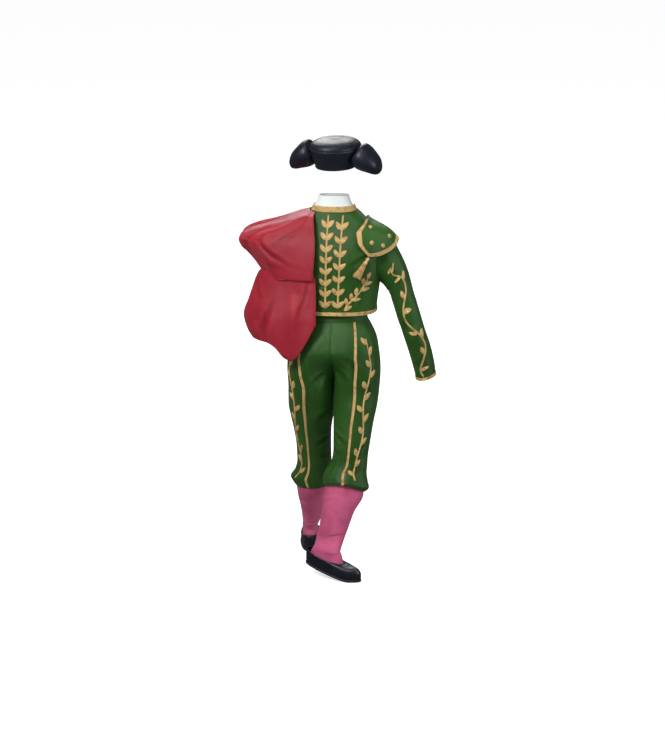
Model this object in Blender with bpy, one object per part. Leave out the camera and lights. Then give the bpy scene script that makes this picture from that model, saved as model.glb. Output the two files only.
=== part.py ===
"""A matador costume as it is worn: hat, short jacket, waistcoat front, shirt, breeches, stockings,
slippers and a cape over the left shoulder. Nobody is in it, so every piece is a hollow wall of cloth.

Units are metres. The wearer faces -Y and the wearer's left is +X. Heights in the tables are above the
soles, and the whole is then lowered so that the origin is at the wearer's shoulders.
"""

import math

import bmesh
import bpy
import numpy as np

HOLD_HEIGHT = 1.44
SEAM = 0.0003
CLOTH = 0.002
CAPE_CLOTH = 0.003
PADDED_CLOTH = 0.004
BRAID = 0.0014
STEP = 1e-4

ARMHOLE_MIDDLE = 1.275
ARMHOLE_HALF_HEIGHT = 0.100
ARMHOLE_HALF_ANGLE = math.radians(30)
ARMHOLE_ROWS = 7
SQUARENESS = 0.07

WAIST_TOP = 1.095
CHEST_LOW = 1.240

CROTCH = 0.75
SEAT = 0.915


class Table:
    """Rows of named columns. Between rows, a column follows a smooth curve along the first one."""

    def __init__(self, names, rows):
        self.names = names.split()
        self.rows = np.array(sorted(rows), float)
        keys, values = self.rows[:, 0], self.rows
        steps = np.diff(values, axis=0) / np.diff(keys)[:, None]
        gentlest = np.minimum(np.abs(steps[:-1]), np.abs(steps[1:]))
        same_way = steps[:-1] * steps[1:] > 0
        self.slopes = np.gradient(values, keys, axis=0)
        limit = np.where(same_way, 3 * gentlest, 0)
        self.slopes[1:-1] = np.clip(self.slopes[1:-1], -limit, limit)

    def at(self, name, key):
        keys = self.rows[:, 0]
        column = self.names.index(name)
        values = self.rows[:, column]
        slopes = self.slopes[:, column]
        key = np.asarray(key, float)
        low = np.clip(np.searchsorted(keys, key) - 1, 0, len(keys) - 2)
        span = keys[low + 1] - keys[low]
        s = np.clip((key - keys[low]) / span, 0, 1)
        return (
            (1 + 2 * s) * (1 - s) ** 2 * values[low]
            + s * (1 - s) ** 2 * span * slopes[low]
            + s * s * (3 - 2 * s) * values[low + 1]
            - s * s * (1 - s) * span * slopes[low + 1]
        )


# Outer surface of the jacket, from its hem to the neck
JACKET = Table(
    "height half_width back front",
    [
        (1.050, 0.166, 0.112, 0.118),
        (1.110, 0.172, 0.116, 0.122),
        (1.160, 0.179, 0.121, 0.126),
        (1.220, 0.186, 0.126, 0.130),
        (1.280, 0.190, 0.128, 0.128),
        (1.340, 0.190, 0.122, 0.114),
        (1.375, 0.180, 0.112, 0.100),
        (1.405, 0.156, 0.100, 0.088),
        (1.430, 0.126, 0.089, 0.078),
        (1.448, 0.104, 0.080, 0.070),
        (1.462, 0.087, 0.072, 0.062),
    ],
)

# How far each layer's outer surface is inside the jacket's, and how far outside the waistband's
LAYERS = {"waistcoat": (0.0044, 0.0059), "shirt": (0.0115, -0.0080)}

# Outer surface of the breeches over the hips
HIPS = Table(
    "height half_width back front",
    [
        (1.095, 0.1290, 0.0980, 0.0950),
        (1.030, 0.1325, 0.1010, 0.0960),
        (1.000, 0.1480, 0.1120, 0.1000),
        (0.958, 0.1670, 0.1240, 0.1040),
        (0.900, 0.1780, 0.1340, 0.1070),
        (0.850, 0.1840, 0.1360, 0.1080),
        (0.800, 0.1850, 0.1340, 0.1070),
        (0.750, 0.1810, 0.1300, 0.1050),
    ],
)

# Outer surface of each leg of the breeches: its middle, half width and half depths
LEG_NAMES = "height x half_width y back front"
UPPER_LEG = [
    (0.920, 0.0890, 0.0890, 0.003, 0.125, 0.105),
    (0.820, 0.0925, 0.0925, 0.003, 0.118, 0.104),
    (0.750, 0.0905, 0.0905, 0.003, 0.105, 0.100),
]
LEG_RIGHT = Table(
    LEG_NAMES,
    UPPER_LEG
    + [
        (0.676, 0.0870, 0.0860, 0.016, 0.096, 0.094),
        (0.610, 0.0805, 0.0795, 0.028, 0.088, 0.088),
        (0.544, 0.0760, 0.0740, 0.040, 0.080, 0.080),
        (0.481, 0.0710, 0.0700, 0.052, 0.072, 0.074),
        (0.441, 0.0650, 0.0740, 0.060, 0.067, 0.070),
        (0.411, 0.0560, 0.0810, 0.065, 0.066, 0.068),
        (0.375, 0.0530, 0.0890, 0.070, 0.069, 0.070),
        (0.352, 0.0550, 0.0920, 0.074, 0.069, 0.070),
        (0.336, 0.0500, 0.0815, 0.078, 0.0625, 0.0625),
    ],
)
LEG_LEFT = Table(
    LEG_NAMES,
    UPPER_LEG
    + [
        (0.670, 0.0920, 0.0905, -0.012, 0.094, 0.092),
        (0.620, 0.0900, 0.0860, -0.025, 0.089, 0.089),
        (0.580, 0.0905, 0.0785, -0.036, 0.083, 0.084),
        (0.510, 0.0880, 0.0710, -0.055, 0.074, 0.076),
        (0.422, 0.0870, 0.0690, -0.078, 0.066, 0.068),
        (0.372, 0.0940, 0.0730, -0.090, 0.067, 0.068),
        (0.340, 0.1040, 0.0810, -0.098, 0.069, 0.069),
        (0.320, 0.1020, 0.0750, -0.101, 0.066, 0.066),
        (0.303, 0.0990, 0.0655, -0.104, 0.0635, 0.0635),
    ],
)
LEGS = {"right": LEG_RIGHT, "left": LEG_LEFT}
SIDES = {"right": -1, "left": 1}

# Where the braids run on each half of a leg, from 0 at the outer side to 1 at the inner edge
BRAID_LINES = Table(
    "height back_right back_left front_right front_left",
    [
        (1.030, 0.570, 0.570, 0.46, 0.46),
        (0.969, 0.634, 0.560, 0.46, 0.46),
        (0.900, 0.660, 0.535, 0.46, 0.46),
        (0.850, 0.600, 0.490, 0.45, 0.46),
        (0.800, 0.530, 0.440, 0.44, 0.46),
        (0.750, 0.490, 0.435, 0.42, 0.45),
        (0.658, 0.500, 0.432, 0.38, 0.44),
        (0.480, 0.515, 0.425, 0.28, 0.44),
        (0.300, 0.520, 0.460, 0.20, 0.44),
    ],
)
# How far a leg's hem rises at the middle of its back and at its inner side
HEM_RISE = {"right": (0.025, 0.030), "left": (0.000, 0.000)}
HEM_RISE_FROM = 0.460

# Sleeves: each ring's inner and outer point and its half depth
SLEEVE_NAMES = "ring inner_x inner_y inner_z outer_x outer_y outer_z half_depth"
SLEEVE_HEAD = [
    (0, 0.186, 0.000, 1.175, 0.186, 0.000, 1.375, 0.060),
    (1, 0.199, 0.000, 1.160, 0.225, 0.000, 1.350, 0.063),
    (2, 0.208, 0.000, 1.147, 0.256, 0.000, 1.300, 0.062),
]
SLEEVE_RIGHT = Table(
    SLEEVE_NAMES,
    SLEEVE_HEAD
    + [
        (3, 0.215, 0.000, 1.138, 0.287, 0.000, 1.232, 0.058),
        (4, 0.226, 0.003, 1.112, 0.313, 0.003, 1.142, 0.053),
        (5, 0.250, 0.008, 1.035, 0.338, 0.008, 1.062, 0.049),
        (6, 0.273, 0.008, 0.968, 0.359, 0.008, 0.992, 0.047),
        (7, 0.293, -0.004, 0.901, 0.380, -0.004, 0.925, 0.045),
        (8, 0.311, -0.022, 0.830, 0.395, -0.022, 0.852, 0.041),
        (9, 0.323, -0.034, 0.776, 0.401, -0.034, 0.796, 0.038),
    ],
)
SLEEVE_LEFT = Table(
    SLEEVE_NAMES,
    SLEEVE_HEAD
    + [
        (3, 0.212, 0.000, 1.126, 0.264, 0.005, 1.240, 0.057),
        (4, 0.216, 0.000, 1.100, 0.288, 0.012, 1.160, 0.052),
        (5, 0.216, -0.010, 1.076, 0.306, 0.028, 1.085, 0.048),
        (6, 0.208, -0.034, 1.064, 0.292, 0.030, 1.012, 0.047),
        (7, 0.192, -0.070, 1.062, 0.252, -0.020, 0.984, 0.045),
        (8, 0.168, -0.108, 1.066, 0.214, -0.076, 0.984, 0.043),
        (9, 0.140, -0.146, 1.071, 0.174, -0.130, 0.994, 0.041),
    ],
)
SLEEVES = {"right": SLEEVE_RIGHT, "left": SLEEVE_LEFT}

# Epaulettes: half spread in degrees about the shoulder line, and lower edge
HOMBRERA_TOP = 1.428
HOMBRERA_SPREAD = Table(
    "down degrees",
    [(0, 24), (0.1, 41), (0.33, 59), (0.55, 60), (0.88, 51), (1, 46)],
)
HOMBRERA_LOWER = Table(
    "across height",
    [(0, 1.345), (0.25, 1.326), (0.5, 1.308), (0.8, 1.295), (1, 1.297)],
)
HOMBRERA_LIFT = 0.0081
HOMBRERA_FLARE = 0.056

# Cape: each level's outermost point and its reach to the back and front
CAPE_NAMES = "height out back front inner_back inner_front"
CAPE_UPPER = Table(
    CAPE_NAMES,
    [
        (1.466, 0.0975, 0.070, 0.060, 0.074, 0.074),
        (1.458, 0.117, 0.084, 0.070, 0.072, 0.074),
        (1.448, 0.140, 0.094, 0.080, 0.070, 0.074),
        (1.434, 0.176, 0.108, 0.096, 0.068, 0.074),
        (1.419, 0.208, 0.119, 0.110, 0.066, 0.074),
        (1.399, 0.263, 0.129, 0.122, 0.064, 0.075),
        (1.380, 0.322, 0.135, 0.132, 0.062, 0.076),
        (1.362, 0.358, 0.139, 0.140, 0.060, 0.077),
        (1.345, 0.370, 0.143, 0.146, 0.060, 0.078),
        (1.320, 0.358, 0.147, 0.152, 0.060, 0.080),
        (1.290, 0.332, 0.150, 0.158, 0.062, 0.082),
        (1.262, 0.309, 0.152, 0.163, 0.064, 0.084),
        (1.238, 0.290, 0.152, 0.166, 0.066, 0.086),
        (1.205, 0.270, 0.151, 0.168, 0.068, 0.090),
    ],
)
CAPE_LOWER = Table(
    CAPE_NAMES,
    [
        (1.262, 0.296, 0.146, 0.157, 0.060, 0.086),
        (1.235, 0.284, 0.145, 0.160, 0.060, 0.088),
        (1.200, 0.297, 0.143, 0.172, 0.058, 0.098),
        (1.148, 0.314, 0.142, 0.190, 0.056, 0.112),
        (1.087, 0.334, 0.145, 0.210, 0.056, 0.130),
        (1.038, 0.346, 0.148, 0.224, 0.056, 0.142),
        (0.985, 0.335, 0.148, 0.228, 0.058, 0.142),
        (0.941, 0.314, 0.146, 0.224, 0.062, 0.138),
        (0.870, 0.292, 0.142, 0.216, 0.066, 0.134),
    ],
)
CAPE_HEM = Table(
    "around height",
    [
        (0.00, 1.030),
        (0.04, 0.955),
        (0.08, 0.905),
        (0.12, 0.880),
        (0.155, 0.892),
        (0.19, 0.924),
        (0.25, 0.936),
        (0.33, 0.946),
        (0.42, 0.948),
        (0.52, 0.952),
        (0.64, 0.938),
        (0.78, 0.915),
        (0.92, 0.912),
        (1.00, 0.935),
    ],
)
# Large folds of the cape: where along it and how high they start and end, width and depth
FOLD_NAMES = "around_top height_top around_low height_low width depth"
UPPER_FOLDS = [
    (0.16, 1.470, 0.24, 1.250, 0.060, 0.010),
    (0.30, 1.440, 0.42, 1.300, 0.060, 0.009),
    (0.33, 1.400, 0.30, 1.240, 0.070, -0.013),
    (0.62, 1.440, 0.66, 1.240, 0.070, 0.010),
    (0.80, 1.460, 0.82, 1.240, 0.060, -0.008),
]
LOWER_FOLDS = [
    (0.10, 1.150, 0.17, 0.880, 0.050, 0.011),
    (0.27, 1.080, 0.25, 0.880, 0.040, -0.012),
    (0.40, 1.260, 0.44, 0.940, 0.080, 0.008),
    (0.62, 1.200, 0.58, 0.930, 0.060, -0.010),
    (0.74, 1.200, 0.72, 0.920, 0.050, 0.012),
    (0.86, 1.180, 0.86, 0.920, 0.050, -0.010),
]

# Stockings: middle, half length towards the toe, half width, and how far the toe end is turned
CALF_NAMES = "height x y half_length half_width turn"
CALF_RIGHT = Table(
    CALF_NAMES,
    [
        (0.418, -0.052, 0.068, 0.0680, 0.0530, 0),
        (0.350, -0.050, 0.077, 0.0761, 0.0566, 0),
        (0.312, -0.044, 0.082, 0.0792, 0.0587, 3),
        (0.262, -0.028, 0.092, 0.0660, 0.0540, 8),
        (0.225, -0.018, 0.101, 0.0620, 0.0490, 12),
        (0.190, -0.009, 0.111, 0.0600, 0.0430, 17),
        (0.160, 0.000, 0.119, 0.0590, 0.0370, 22),
    ],
)
CALF_LEFT = Table(
    CALF_NAMES,
    [
        (0.338, 0.099, -0.100, 0.0560, 0.0570, 0),
        (0.303, 0.101, -0.104, 0.0591, 0.0601, 0),
        (0.262, 0.102, -0.122, 0.0600, 0.0580, 0),
        (0.222, 0.103, -0.144, 0.0560, 0.0530, 1),
        (0.180, 0.105, -0.166, 0.0500, 0.0460, 2),
        (0.145, 0.109, -0.183, 0.0470, 0.0400, 4),
        (0.118, 0.114, -0.195, 0.0460, 0.0345, 4),
    ],
)
CALVES = {"right": CALF_RIGHT, "left": CALF_LEFT}
# Foot of a stocking, in the foot's own upright plane: each ring's front and back point and half width
FOOT_NAMES = "ring front_forward front_height back_forward back_height half_width"
FOOT_RIGHT = Table(
    FOOT_NAMES,
    [
        (0, 0.088, 0.102, -0.024, 0.092, 0.0310),
        (1, 0.092, 0.092, -0.040, 0.058, 0.0315),
        (2, 0.096, 0.082, -0.044, 0.022, 0.0315),
        (3, 0.099, 0.064, 0.015, 0.0096, 0.0315),
        (4, 0.105, 0.048, 0.070, 0.0096, 0.0315),
        (5, 0.128, 0.041, 0.122, 0.0100, 0.0305),
        (6, 0.150, 0.033, 0.151, 0.0140, 0.0230),
    ],
)
FOOT_LEFT = Table(
    FOOT_NAMES,
    [
        (0, 0.042, 0.098, -0.044, 0.090, 0.0310),
        (1, 0.056, 0.088, -0.048, 0.060, 0.0315),
        (2, 0.070, 0.077, -0.046, 0.022, 0.0315),
        (3, 0.086, 0.065, 0.015, 0.0096, 0.0320),
        (4, 0.103, 0.052, 0.070, 0.0096, 0.0320),
        (5, 0.128, 0.041, 0.122, 0.0100, 0.0305),
        (6, 0.150, 0.033, 0.151, 0.0140, 0.0230),
    ],
)
FOOTS = {"right": FOOT_RIGHT, "left": FOOT_LEFT}
# Each foot's ankle on the ground, which way its toe points in degrees from +X, and how high the heel is
FEET = {"right": (0.040, 0.134, 158.0, 0.045), "left": (0.120, -0.210, -86.0, 0.0)}
HEEL_BEHIND = 0.062
SHOE_LENGTH = 0.240
BALL = 0.195
SOLE_TOP = 0.009
SHOE_WIDTHS = Table(
    "along half_width",
    [(0, 0.0360), (0.25, 0.0375), (0.5, 0.0400), (0.72, 0.0430), (0.88, 0.0410), (1, 0.0350)],
)
# Slipper's upper: how far each ring has moved from the sole's outline to the opening, and its rise
SHOE_RINGS = [(0.0, 0.0), (-0.03, 0.30), (0.03, 0.62), (0.22, 0.84), (0.55, 0.95), (1.0, 1.0)]

# Hat: ring height, half width and half depth of its band, then of its top
HAT_MIDDLE = (-0.006, -0.004)
HAT_TURN = math.radians(-14)
HAT_BAND = Table(
    "height half_width half_depth",
    [
        (1.628, 0.0740, 0.0940),
        (1.648, 0.0810, 0.1010),
        (1.672, 0.0900, 0.1100),
        (1.692, 0.0960, 0.1160),
        (1.704, 0.0985, 0.1185),
    ],
)
HAT_CROWN = Table(
    "height half_width half_depth",
    [
        (1.7052, 0.0987, 0.1187),
        (1.7180, 0.0950, 0.1150),
        (1.7300, 0.0820, 0.1010),
        (1.7385, 0.0600, 0.0750),
        (1.7435, 0.0300, 0.0380),
    ],
)
HAT_CROWN_TOP = 1.745
# Side pads of the hat, from the band outwards
HAT_PAD = Table(
    "out drop half_height half_depth",
    [
        (0.0000, 0.000, 0.030, 0.050),
        (0.0095, -0.003, 0.047, 0.060),
        (0.0260, 0.000, 0.053, 0.066),
        (0.0470, 0.008, 0.051, 0.064),
        (0.0680, 0.021, 0.043, 0.056),
        (0.0840, 0.030, 0.033, 0.042),
        (0.0930, 0.036, 0.018, 0.024),
    ],
)
HAT_PAD_HEIGHT = 1.674

COLOURS = {
    "green": ((0.035, 0.125, 0.018), 0.35, 0.0),
    "gold": ((0.62, 0.40, 0.14), 0.40, 0.6),
    "red": ((0.42, 0.018, 0.040), 0.45, 0.0),
    "pink": ((0.56, 0.10, 0.26), 0.50, 0.0),
    "black": ((0.008, 0.010, 0.018), 0.30, 0.0),
    "white": ((0.80, 0.80, 0.78), 0.60, 0.0),
}


def clear_scene():
    for thing in list(bpy.data.objects):
        bpy.data.objects.remove(thing)


def paint(thing, colour):
    rgb, roughness, metallic = COLOURS[colour]
    material = bpy.data.materials.new(thing.name)
    material.use_nodes = True
    shader = material.node_tree.nodes["Principled BSDF"]
    shader.inputs["Base Color"].default_value = (*rgb, 1.0)
    shader.inputs["Roughness"].default_value = roughness
    shader.inputs["Metallic"].default_value = metallic
    thing.data.materials.append(material)


def thing_of(name, mesh, colour):
    """The mesh as a named object of the costume, lowered so that the origin is at the shoulders."""
    mesh.shade_smooth()
    mesh.set_sharp_from_angle(angle=math.radians(50))
    thing = bpy.data.objects.new(name, mesh)
    thing.location.z = -HOLD_HEIGHT
    bpy.context.scene.collection.objects.link(thing)
    paint(thing, colour)
    return thing


def slab(name, points, normals, faces, inner, outer, colour):
    """A closed solid between two offsets of an open surface, walled along the surface's edges."""
    points = np.asarray(points, float).reshape(-1, 3)
    normals = np.asarray(normals, float).reshape(-1, 3)
    used = sorted({i for face in faces for i in face})
    number = {old: new for new, old in enumerate(used)}
    count = len(used)
    corners = np.vstack([points[used] + normals[used] * outer, points[used] + normals[used] * inner])
    top = [tuple(number[i] for i in face) for face in faces]
    sides = {}
    for face in top:
        for a, b in zip(face, face[1:] + face[:1]):
            sides[(a, b)] = True
    walls = []
    for a, b in sides:
        if (b, a) not in sides:
            walls += [(b, a, a + count), (b, a + count, b + count)]
    under = [tuple(i + count for i in reversed(face)) for face in top]
    mesh = bpy.data.meshes.new(name)
    mesh.from_pydata(corners.tolist(), [], top + under + walls)
    shape = bmesh.new()
    shape.from_mesh(mesh)
    if shape.calc_volume(signed=True) < 0:
        bmesh.ops.reverse_faces(shape, faces=shape.faces[:])
    shape.to_mesh(mesh)
    shape.free()
    return thing_of(name, mesh, colour)


def grid_faces(rows, columns, around=False, keep=None):
    """Triangles of a grid of points. keep says which cells are there, and around joins its two sides."""
    faces = []
    for r in range(rows - 1):
        for c in range(columns if around else columns - 1):
            if keep is not None and not keep(r, c):
                continue
            a, b = r * columns + c, r * columns + (c + 1) % columns
            faces += [(a, b, b + columns), (a, b + columns, a + columns)]
    return faces


def closed_end(faces, rows, columns):
    """The faces of a tube with its last ring drawn in to one more point."""
    last = (rows - 1) * columns
    pole = rows * columns
    return faces + [(last + c, last + (c + 1) % columns, pole) for c in range(columns)]


def surface(function, u, v, sign=1.0):
    """Points and unit normals of function(u, v) on the arrays u and v."""
    u, v = np.broadcast_arrays(np.asarray(u, float), np.asarray(v, float))
    across = function(u + STEP, v) - function(u - STEP, v)
    along = function(u, v + STEP) - function(u, v - STEP)
    normals = sign * np.cross(across, along)
    return function(u, v), normals / np.linalg.norm(normals, axis=-1, keepdims=True)


def drawn_in(points, edges="tblr"):
    """The grid with its named edges (top row, bottom row, left and right columns) half a seam in."""
    points = points.copy()
    for mark, edge, inside in (("b", 0, 1), ("t", -1, -2)):
        if mark in edges:
            way = points[inside] - points[edge]
            points[edge] += way / np.linalg.norm(way, axis=-1, keepdims=True) * SEAM / 2
    for mark, edge, inside in (("l", 0, 1), ("r", -1, -2)):
        if mark in edges:
            way = points[:, inside] - points[:, edge]
            points[:, edge] += way / np.linalg.norm(way, axis=-1, keepdims=True) * SEAM / 2
    return points


def panel(name, grid, colour, edges="tblr", inner=-CLOTH, outer=0.0, keep=None):
    points, normals = grid
    rows, columns = points.shape[:2]
    faces = grid_faces(rows, columns, keep=keep)
    return slab(name, drawn_in(points, edges), normals, faces, inner, outer, colour)


def braid(name, grid, keep=None, around=False, edges="", thick=BRAID):
    """A flat braid over the kept cells of a panel's grid, just proud of it."""
    points, normals = grid
    rows, columns = points.shape[:2]
    faces = grid_faces(rows, columns, around, keep)
    return slab(name, drawn_in(points, edges), normals, faces, SEAM, SEAM + thick, "gold")


def oval(angle, half_width, back, front, middle_y=0.0):
    """A slightly squared oval. The angle is 0 at the back and grows to the wearer's left."""
    fuller = 1 + SQUARENESS * np.sin(2 * angle) ** 2
    reach = np.where(np.cos(angle) > 0, back, front)
    return half_width * np.sin(angle) * fuller, middle_y + reach * np.cos(angle) * fuller


def body(table):
    """A body surface by angle and height."""

    def point(angle, height):
        x, y = oval(angle, *(table.at(name, height) for name in ("half_width", "back", "front")))
        return np.stack([x, y, height + 0 * x], -1)

    return point


def torso(layer=None):
    """The jacket's surface, or that of a layer under it which follows the waistband at the waist."""
    if layer is None:
        return body(JACKET)
    under, over = LAYERS[layer]

    def point(angle, height):
        chest, chest_out = surface(body(JACKET), angle, height, -1.0)
        waist, waist_out = surface(body(HIPS), angle, height, -1.0)
        share = np.clip((height - WAIST_TOP) / (CHEST_LOW - WAIST_TOP), 0, 1)[..., None]
        share = share * share * (3 - 2 * share)
        return share * (chest - chest_out * under) + (1 - share) * (waist + waist_out * over)

    return point


def armhole_angle(height):
    """How far the armhole cuts into a panel at that height."""
    level = np.clip((height - ARMHOLE_MIDDLE) / ARMHOLE_HALF_HEIGHT, -1, 1)
    return ARMHOLE_HALF_ANGLE * np.sqrt(1 - level**2)


def torso_rows(below, above, levels=ARMHOLE_ROWS):
    turn = np.pi * np.arange(levels + 1) / levels
    return np.array([*below, *(ARMHOLE_MIDDLE - ARMHOLE_HALF_HEIGHT * np.cos(turn)), *above])


JACKET_ROWS = torso_rows([1.058, 1.074, 1.108, 1.142], [1.405, 1.430, 1.448, 1.462])
FRONT_EDGE = Table(
    "height degrees",
    [(1.058, 147), (1.110, 151), (1.200, 154), (1.300, 152), (1.380, 143), (1.430, 128), (1.462, 112)],
)
WAISTCOAT_EDGE = Table(
    "height degrees",
    [(1.030, 179.4), (1.250, 179.4), (1.300, 168), (1.360, 154), (1.420, 138), (1.462, 112)],
)


def back_grid(layer, heights, columns):
    widest = np.pi / 2 - armhole_angle(heights)
    share = np.linspace(-1, 1, columns + 1)
    return surface(torso(layer), widest[:, None] * share, heights[:, None], -1.0)


def front_grid(layer, heights, edge, shares, side):
    start = np.pi / 2 + armhole_angle(heights)
    stop = np.radians(edge.at("degrees", heights))
    angle = start[:, None] + (stop - start)[:, None] * np.asarray(shares)
    return surface(torso(layer), side * angle, heights[:, None], -1.0)


BACK_COLUMNS = 12
FRONT_SHARES = [0, 0.29, 0.58, 0.86, 1.0]


def make_jacket():
    back = back_grid(None, JACKET_ROWS, BACK_COLUMNS)
    panel("jacket_back", back, "green")
    fronts = {}
    for name, side in SIDES.items():
        grid = front_grid(None, JACKET_ROWS, FRONT_EDGE, FRONT_SHARES, side)
        fronts[name] = grid
        panel(f"jacket_front_{name}", grid, "green")
        strip = [part[:, -2:] for part in grid]
        braid(f"jacket_front_braid_{name}", strip, edges="l")
    make_hem_braid(back, fronts)
    make_jacket_collar()
    return back, fronts


def make_hem_braid(back, fronts):
    """One braid round the hem, from the right front braid round the back to the left one."""
    strips = [
        [part[:2, -2::-1] for part in fronts["right"]],
        [part[:2, 1:-1] for part in back],
        [part[:2, :-1] for part in fronts["left"]],
    ]
    grid = [np.concatenate([strip[k] for strip in strips], axis=1) for k in (0, 1)]
    braid("jacket_hem_braid", grid, edges="lr", thick=0.002)


COLLAR_RISE = Table("height half_width back front", [(0.0, 0.0, 0.0, 0.0), (0.022, -0.0085, -0.0070, -0.0050)])
COLLAR_HALF_ANGLE = math.radians(110)


def make_jacket_collar():
    """The gold band that stands on the neckline, open at the front."""
    neck = JACKET_ROWS[-1]

    def point(angle, rise):
        x, y = oval(
            angle,
            JACKET.at("half_width", neck) + COLLAR_RISE.at("half_width", rise),
            JACKET.at("back", neck) + COLLAR_RISE.at("back", rise),
            JACKET.at("front", neck) + COLLAR_RISE.at("front", rise),
        )
        return np.stack([x, y, neck + rise + 0 * x], -1)

    angle = np.linspace(-COLLAR_HALF_ANGLE, COLLAR_HALF_ANGLE, 15)
    rise = np.array([SEAM, 0.011, 0.022])
    grid = surface(point, angle[None, :], rise[:, None], -1.0)
    panel("jacket_collar", grid, "gold", edges="")


def sleeve_surface(side):
    """A sleeve by angle round it, from 0 along its outer line, and by ring."""
    table = SLEEVES[side]
    sign = SIDES[side]

    def ring_values(name, ring):
        return table.at(name, ring)

    def point(angle, ring):
        inner = np.stack([ring_values(f"inner_{k}", ring) for k in "xyz"], -1)
        outer = np.stack([ring_values(f"outer_{k}", ring) for k in "xyz"], -1)
        ahead = np.stack([ring_values(f"inner_{k}", ring + 0.1) + ring_values(f"outer_{k}", ring + 0.1)
                          for k in "xyz"], -1)
        behind = np.stack([ring_values(f"inner_{k}", ring - 0.1) + ring_values(f"outer_{k}", ring - 0.1)
                           for k in "xyz"], -1)
        middle, reach = (inner + outer) / 2, (outer - inner) / 2
        way = np.cross(reach, ahead - behind)
        way /= np.linalg.norm(way, axis=-1, keepdims=True)
        depth = ring_values("half_depth", ring)[..., None]
        tube = middle + reach * np.cos(angle)[..., None] + way * depth * np.sin(angle)[..., None]
        hole = torso()(
            np.pi / 2 - ARMHOLE_HALF_ANGLE * np.sin(angle),
            ARMHOLE_MIDDLE + ARMHOLE_HALF_HEIGHT * np.cos(angle),
        )
        share = np.clip(1 - np.clip(ring, 0, None) / 1.0, 0, 1)[..., None] ** 2
        found = share * hole + (1 - share) * tube
        return found * np.array([sign, 1.0, 1.0])

    return point


SLEEVE_STATIONS = [0, 0.6, 1.3, 2, 3, 4, 5, 6, 7, 8, 8.72, 9]


def sleeve_grid(side):
    angle = 2 * np.pi * np.arange(2 * ARMHOLE_ROWS) / (2 * ARMHOLE_ROWS)
    ring = np.array(SLEEVE_STATIONS, float)
    return surface(sleeve_surface(side), angle[None, :], ring[:, None], -SIDES[side])


def make_sleeves():
    for side in SIDES:
        points, normals = sleeve_grid(side)
        rows, columns = points.shape[:2]
        faces = grid_faces(rows, columns, around=True)
        inset = drawn_in(points, "b")
        slab(f"jacket_sleeve_{side}", inset, normals, faces, -CLOTH, 0.0, "green")
        braid(f"cuff_braid_{side}", (points[-2:], normals[-2:]), around=True)


def hombrera_surface(side):
    sign = SIDES[side]

    def point(across, down):
        size = np.abs(across)
        angle = np.pi / 2 - np.radians(HOMBRERA_SPREAD.at("degrees", down)) * across
        lower = HOMBRERA_LOWER.at("height", size)
        height = HOMBRERA_TOP + (lower - HOMBRERA_TOP) * down
        base, normal = surface(torso(), angle, height, -1.0)
        lift = HOMBRERA_LIFT + HOMBRERA_FLARE * (1 - across**2) ** 2 * np.clip(down, 0, 1) ** 1.5
        found = base + normal * lift[..., None]
        return found * np.array([sign, 1.0, 1.0])

    return point


HOMBRERA_ACROSS = [-1, -0.9, -0.72, -0.5, -0.25, 0, 0.25, 0.5, 0.72, 0.9, 1]
HOMBRERA_DOWN = [0, 0.1, 0.3, 0.52, 0.72, 0.88, 1]
# Where each stud sits across and down the epaulette, and how far it is pressed into the padding
STUDS = [(0.62, 0.22, 0.0015), (0.72, 0.60, 0.0008), (0.25, 0.70, 0.0), (0.52, 0.76, 0.0)]
STUD_RADIUS = 0.009
STUD_RISE = 0.006


def make_hombreras():
    across = np.array(HOMBRERA_ACROSS, float)
    down = np.array(HOMBRERA_DOWN, float)
    last_row, last_column = len(down) - 2, len(across) - 2
    for side, sign in SIDES.items():
        grid = surface(hombrera_surface(side), across[None, :], down[:, None], -sign)
        panel(f"hombrera_{side}", grid, "green", edges="", inner=-PADDED_CLOTH)
        braid(
            f"hombrera_braid_{side}",
            grid,
            keep=lambda r, c: r == last_row or c in (0, last_column),
            thick=0.003,
        )
    for number, (u, v, pressed) in enumerate(STUDS):
        at, normal = surface(hombrera_surface("right"), np.array([u]), np.array([v]), 1.0)
        make_stud(f"hombrera_stud_{number + 1}", at[0] - normal[0] * pressed, normal[0])


def make_stud(name, at, normal):
    """A domed stud, flat below, that sits on the surface at that point."""
    side = np.cross(normal, [0.0, 0.0, 1.0])
    side /= np.linalg.norm(side)
    up = np.cross(side, normal)
    rings, sides = 3, 10
    points = []
    for k in range(rings):
        turn = 0.5 * np.pi * k / rings
        for c in range(sides):
            round_ = 2 * np.pi * c / sides
            out = STUD_RADIUS * np.cos(turn) * (np.cos(round_) * side + np.sin(round_) * up)
            points.append(at + out + normal * (0.0006 + STUD_RISE * np.sin(turn)))
    points += [at + normal * (0.0006 + STUD_RISE), at + normal * 0.0006]
    faces = closed_end(grid_faces(rings, sides, around=True), rings, sides)
    base = len(points) - 1
    faces += [((c + 1) % sides, c, base) for c in range(sides)]
    solid(name, points, faces, "gold")


def solid(name, points, faces, colour):
    """A closed solid straight from its points and faces."""
    mesh = bpy.data.meshes.new(name)
    mesh.from_pydata(np.asarray(points, float).tolist(), [], faces)
    shape = bmesh.new()
    shape.from_mesh(mesh)
    if shape.calc_volume(signed=True) < 0:
        bmesh.ops.reverse_faces(shape, faces=shape.faces[:])
    shape.to_mesh(mesh)
    shape.free()
    return thing_of(name, mesh, colour)


TASSEL_TOP = (-0.1468, 0.1084, 1.2970)
TASSEL_END = (-0.1005, 0.1330, 1.2180)
TASSEL_HEAD = [(0.0, 0.0025), (0.004, 0.0055), (0.010, 0.0075), (0.017, 0.0060), (0.022, 0.0085), (0.027, 0.0085)]
TASSEL_STRANDS = 10
STRAND_RADIUS = 0.0021


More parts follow.
